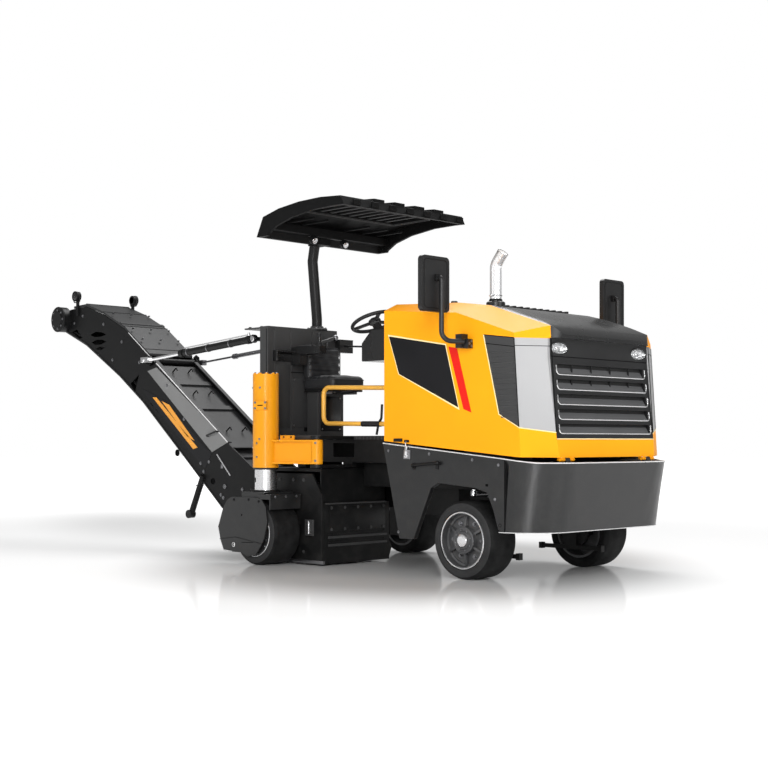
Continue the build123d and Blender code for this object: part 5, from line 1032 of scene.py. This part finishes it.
lathe("air_filter", [(0, 0.0), (0, 0.080), (0.010, 0.086), (0.290, 0.086), (0.300, 0.080), (0.310, 0.050), (0.310, 0)], P(-0.62, 0.20, 1.380), (1, 0, 0), "plastic_matt", "chassis", seg=40)
tube("air_duct", rounded([P(-0.32, 0.20, 1.380), P(-0.22, 0.225, 1.380), P(-0.12, 0.215, 1.300)], 0.08, 8), 0.036, "grip", "chassis", seg=20)
hexes("engine_side_bolts", [(P(x, -0.2655, z), (0, -1, 0)) for x in (-0.42, -0.20, 0.05, 0.28) for z in (0.75, 1.10)], 0.010, 0.008, "dark_steel", "chassis")
hexes("engine_side_bolts_left", [(P(x, 0.2655, z), (0, 1, 0)) for x in (-0.42, -0.20, 0.05, 0.28) for z in (0.75, 1.10)], 0.010, 0.008, "dark_steel", "chassis")
# axle ends
for s, tag in ((-1, "right"), (1, "left")):
    lathe(f"king_pin_cap_{tag}", [(0, 0.032), (0.006, 0.032), (0.010, 0.026), (0.010, 0)], P(0, s * 0.475, 0.5555), (0, 0, 1), "dark_steel", f"knuckle_{tag}", seg=24)
    lathe(f"brake_drum_{tag}", [(0, 0.0), (0, 0.085), (0.010, 0.118), (0.045, 0.118), (0.050, 0.110), (0.050, 0)], P(0, s * 0.462, 0.270), (0, s, 0), "black", f"knuckle_{tag}", seg=40)
    hexes(f"rod_end_nuts_{tag}", [(P(-0.168, s * 0.475, 0.5945), (0, 0, 1))], 0.014, 0.012, "steel", "tie_rod")

# ------------------------------------------------------------------ stage, lights, camera
me = bpy.data.meshes.new("floor")
me.from_pydata([(-60, -60, 0), (60, -60, 0), (60, 60, 0), (-60, 60, 0)], [], [(0, 1, 2, 3)])
floor = bpy.data.objects.new("floor", me)
scene.collection.objects.link(floor)
m, nt, N, L, b = nodes_of("floor_pale")
n = noise(nt, 0.6, 2, 0.5)
r = ramp(nt, n.outputs["Fac"], [(0.3, (0.88, 0.88, 0.88)), (0.7, (0.895, 0.895, 0.895))])
L.new(r.outputs["Color"], b.inputs["Base Color"])
b.inputs["Roughness"].default_value = 0.10
b.inputs["Specular IOR Level"].default_value = 0.5
b.inputs["Emission Color"].default_value = (1, 1, 1, 1)
# the floor glows less in an oval round the machine, a painted shadow, and its glow rises with distance so that it fades
# into the white backdrop
tcd = N.new("ShaderNodeTexCoord")
oval = N.new("ShaderNodeMapping"); oval.vector_type = "TEXTURE"
oval.inputs["Location"].default_value = (1.18, -0.04, 0)
oval.inputs["Rotation"].default_value = (0, 0, math.radians(45))
oval.inputs["Scale"].default_value = (1.95, 2.5, 1)
L.new(tcd.outputs["Object"], oval.inputs["Vector"])
vl = N.new("ShaderNodeVectorMath"); vl.operation = "LENGTH"
L.new(oval.outputs["Vector"], vl.inputs[0])
oval_painted_shadow = N.new("ShaderNodeMapRange"); oval_painted_shadow.interpolation_type = "SMOOTHSTEP"
oval_painted_shadow.inputs["From Min"].default_value = 0.70
oval_painted_shadow.inputs["From Max"].default_value = 1.25
oval_painted_shadow.inputs["To Min"].default_value = 0.0
oval_painted_shadow.inputs["To Max"].default_value = 0.40
L.new(vl.outputs["Value"], oval_painted_shadow.inputs["Value"])
# and glows less in a longer patch where the shadow of the conveyor falls: a painted shadow
tail = N.new("ShaderNodeMapping"); tail.vector_type = "TEXTURE"
tail.inputs["Location"].default_value = (-3.9, 1.0, 0)
tail.inputs["Rotation"].default_value = (0, 0, math.radians(-25.5))
tail.inputs["Scale"].default_value = (3.6, 1.3, 1)
L.new(tcd.outputs["Object"], tail.inputs["Vector"])
tl = N.new("ShaderNodeVectorMath"); tl.operation = "LENGTH"
L.new(tail.outputs["Vector"], tl.inputs[0])
patch = N.new("ShaderNodeMapRange"); patch.interpolation_type = "SMOOTHSTEP"
patch.inputs["From Min"].default_value = 0.15
patch.inputs["From Max"].default_value = 1.15
patch.inputs["To Min"].default_value = 0.55
patch.inputs["To Max"].default_value = 1.0
L.new(tl.outputs["Value"], patch.inputs["Value"])
far = N.new("ShaderNodeVectorMath"); far.operation = "LENGTH"
L.new(tcd.outputs["Object"], far.inputs[0])
wide = N.new("ShaderNodeMapRange"); wide.interpolation_type = "SMOOTHSTEP"
wide.inputs["From Min"].default_value = 4.0
wide.inputs["From Max"].default_value = 13.0
wide.inputs["To Min"].default_value = 0.0
wide.inputs["To Max"].default_value = 0.62
L.new(far.outputs["Value"], wide.inputs["Value"])
glow = N.new("ShaderNodeMath"); glow.operation = "ADD"
L.new(oval_painted_shadow.outputs["Result"], glow.inputs[0]); L.new(wide.outputs["Result"], glow.inputs[1])
both = N.new("ShaderNodeMath"); both.operation = "MULTIPLY"
L.new(glow.outputs[0], both.inputs[0]); L.new(patch.outputs["Result"], both.inputs[1])
L.new(both.outputs[0], b.inputs["Emission Strength"])
me.materials.append(m)

world = bpy.data.worlds.new("studio")
scene.world = world
world.use_nodes = True
wn = world.node_tree
bg = wn.nodes["Background"]
bg.inputs["Color"].default_value = (1.0, 1.0, 1.0, 1)
bg.inputs["Strength"].default_value = 1.0
dim = wn.nodes.new("ShaderNodeBackground")
dim.inputs["Color"].default_value = (1.0, 1.0, 1.0, 1)
dim.inputs["Strength"].default_value = 0.34
lp = wn.nodes.new("ShaderNodeLightPath")
mx = wn.nodes.new("ShaderNodeMixShader")
wn.links.new(lp.outputs["Is Camera Ray"], mx.inputs[0])
wn.links.new(dim.outputs[0], mx.inputs[1])
wn.links.new(bg.outputs[0], mx.inputs[2])
wn.links.new(mx.outputs[0], wn.nodes["World Output"].inputs["Surface"])


def area(name, loc, target, size, power, color=(1, 1, 1)):
    light = bpy.data.lights.new(name, "AREA")
    light.shape = "RECTANGLE"; light.size, light.size_y = size
    light.energy = power; light.color = color
    o = bpy.data.objects.new(name, light)
    scene.collection.objects.link(o)
    o.location = loc
    o.rotation_euler = (Vector(target) - Vector(loc)).to_track_quat("-Z", "Y").to_euler()
    return o


area("key", (8.5, -7.5, 5.5), (1.5, 0, 1.0), (4, 4), 575)
area("side", (-1.0, -9.0, 4.0), (0.0, 0, 1.0), (5, 4), 95)
area("front", (10.0, 0.5, 3.5), (2.0, 0, 1.0), (3.5, 3), 165)
area("top", (-1.0, 3.0, 8.6), (1.0, -0.3, 1.0), (6, 4.5), 640)
area("strip", (8.0, -8.6, 1.6), (2.6, -0.5, 0.8), (0.6, 3.2), 260)

cam = bpy.data.cameras.new("camera")
cam.lens = 36.0 * 1340.0 / 768.0
cam.sensor_width = 36.0
cam.shift_y = 57.0 / 768.0
cam.clip_end = 200
camera = bpy.data.objects.new("camera", cam)
scene.collection.objects.link(camera)
camera.location = (6.09892317 + AX, -7.64083126, 0.95)
camera.rotation_euler = Euler((math.radians(90), 0, math.radians(45)))
scene.camera = camera

scene.view_settings.view_transform = "Standard"
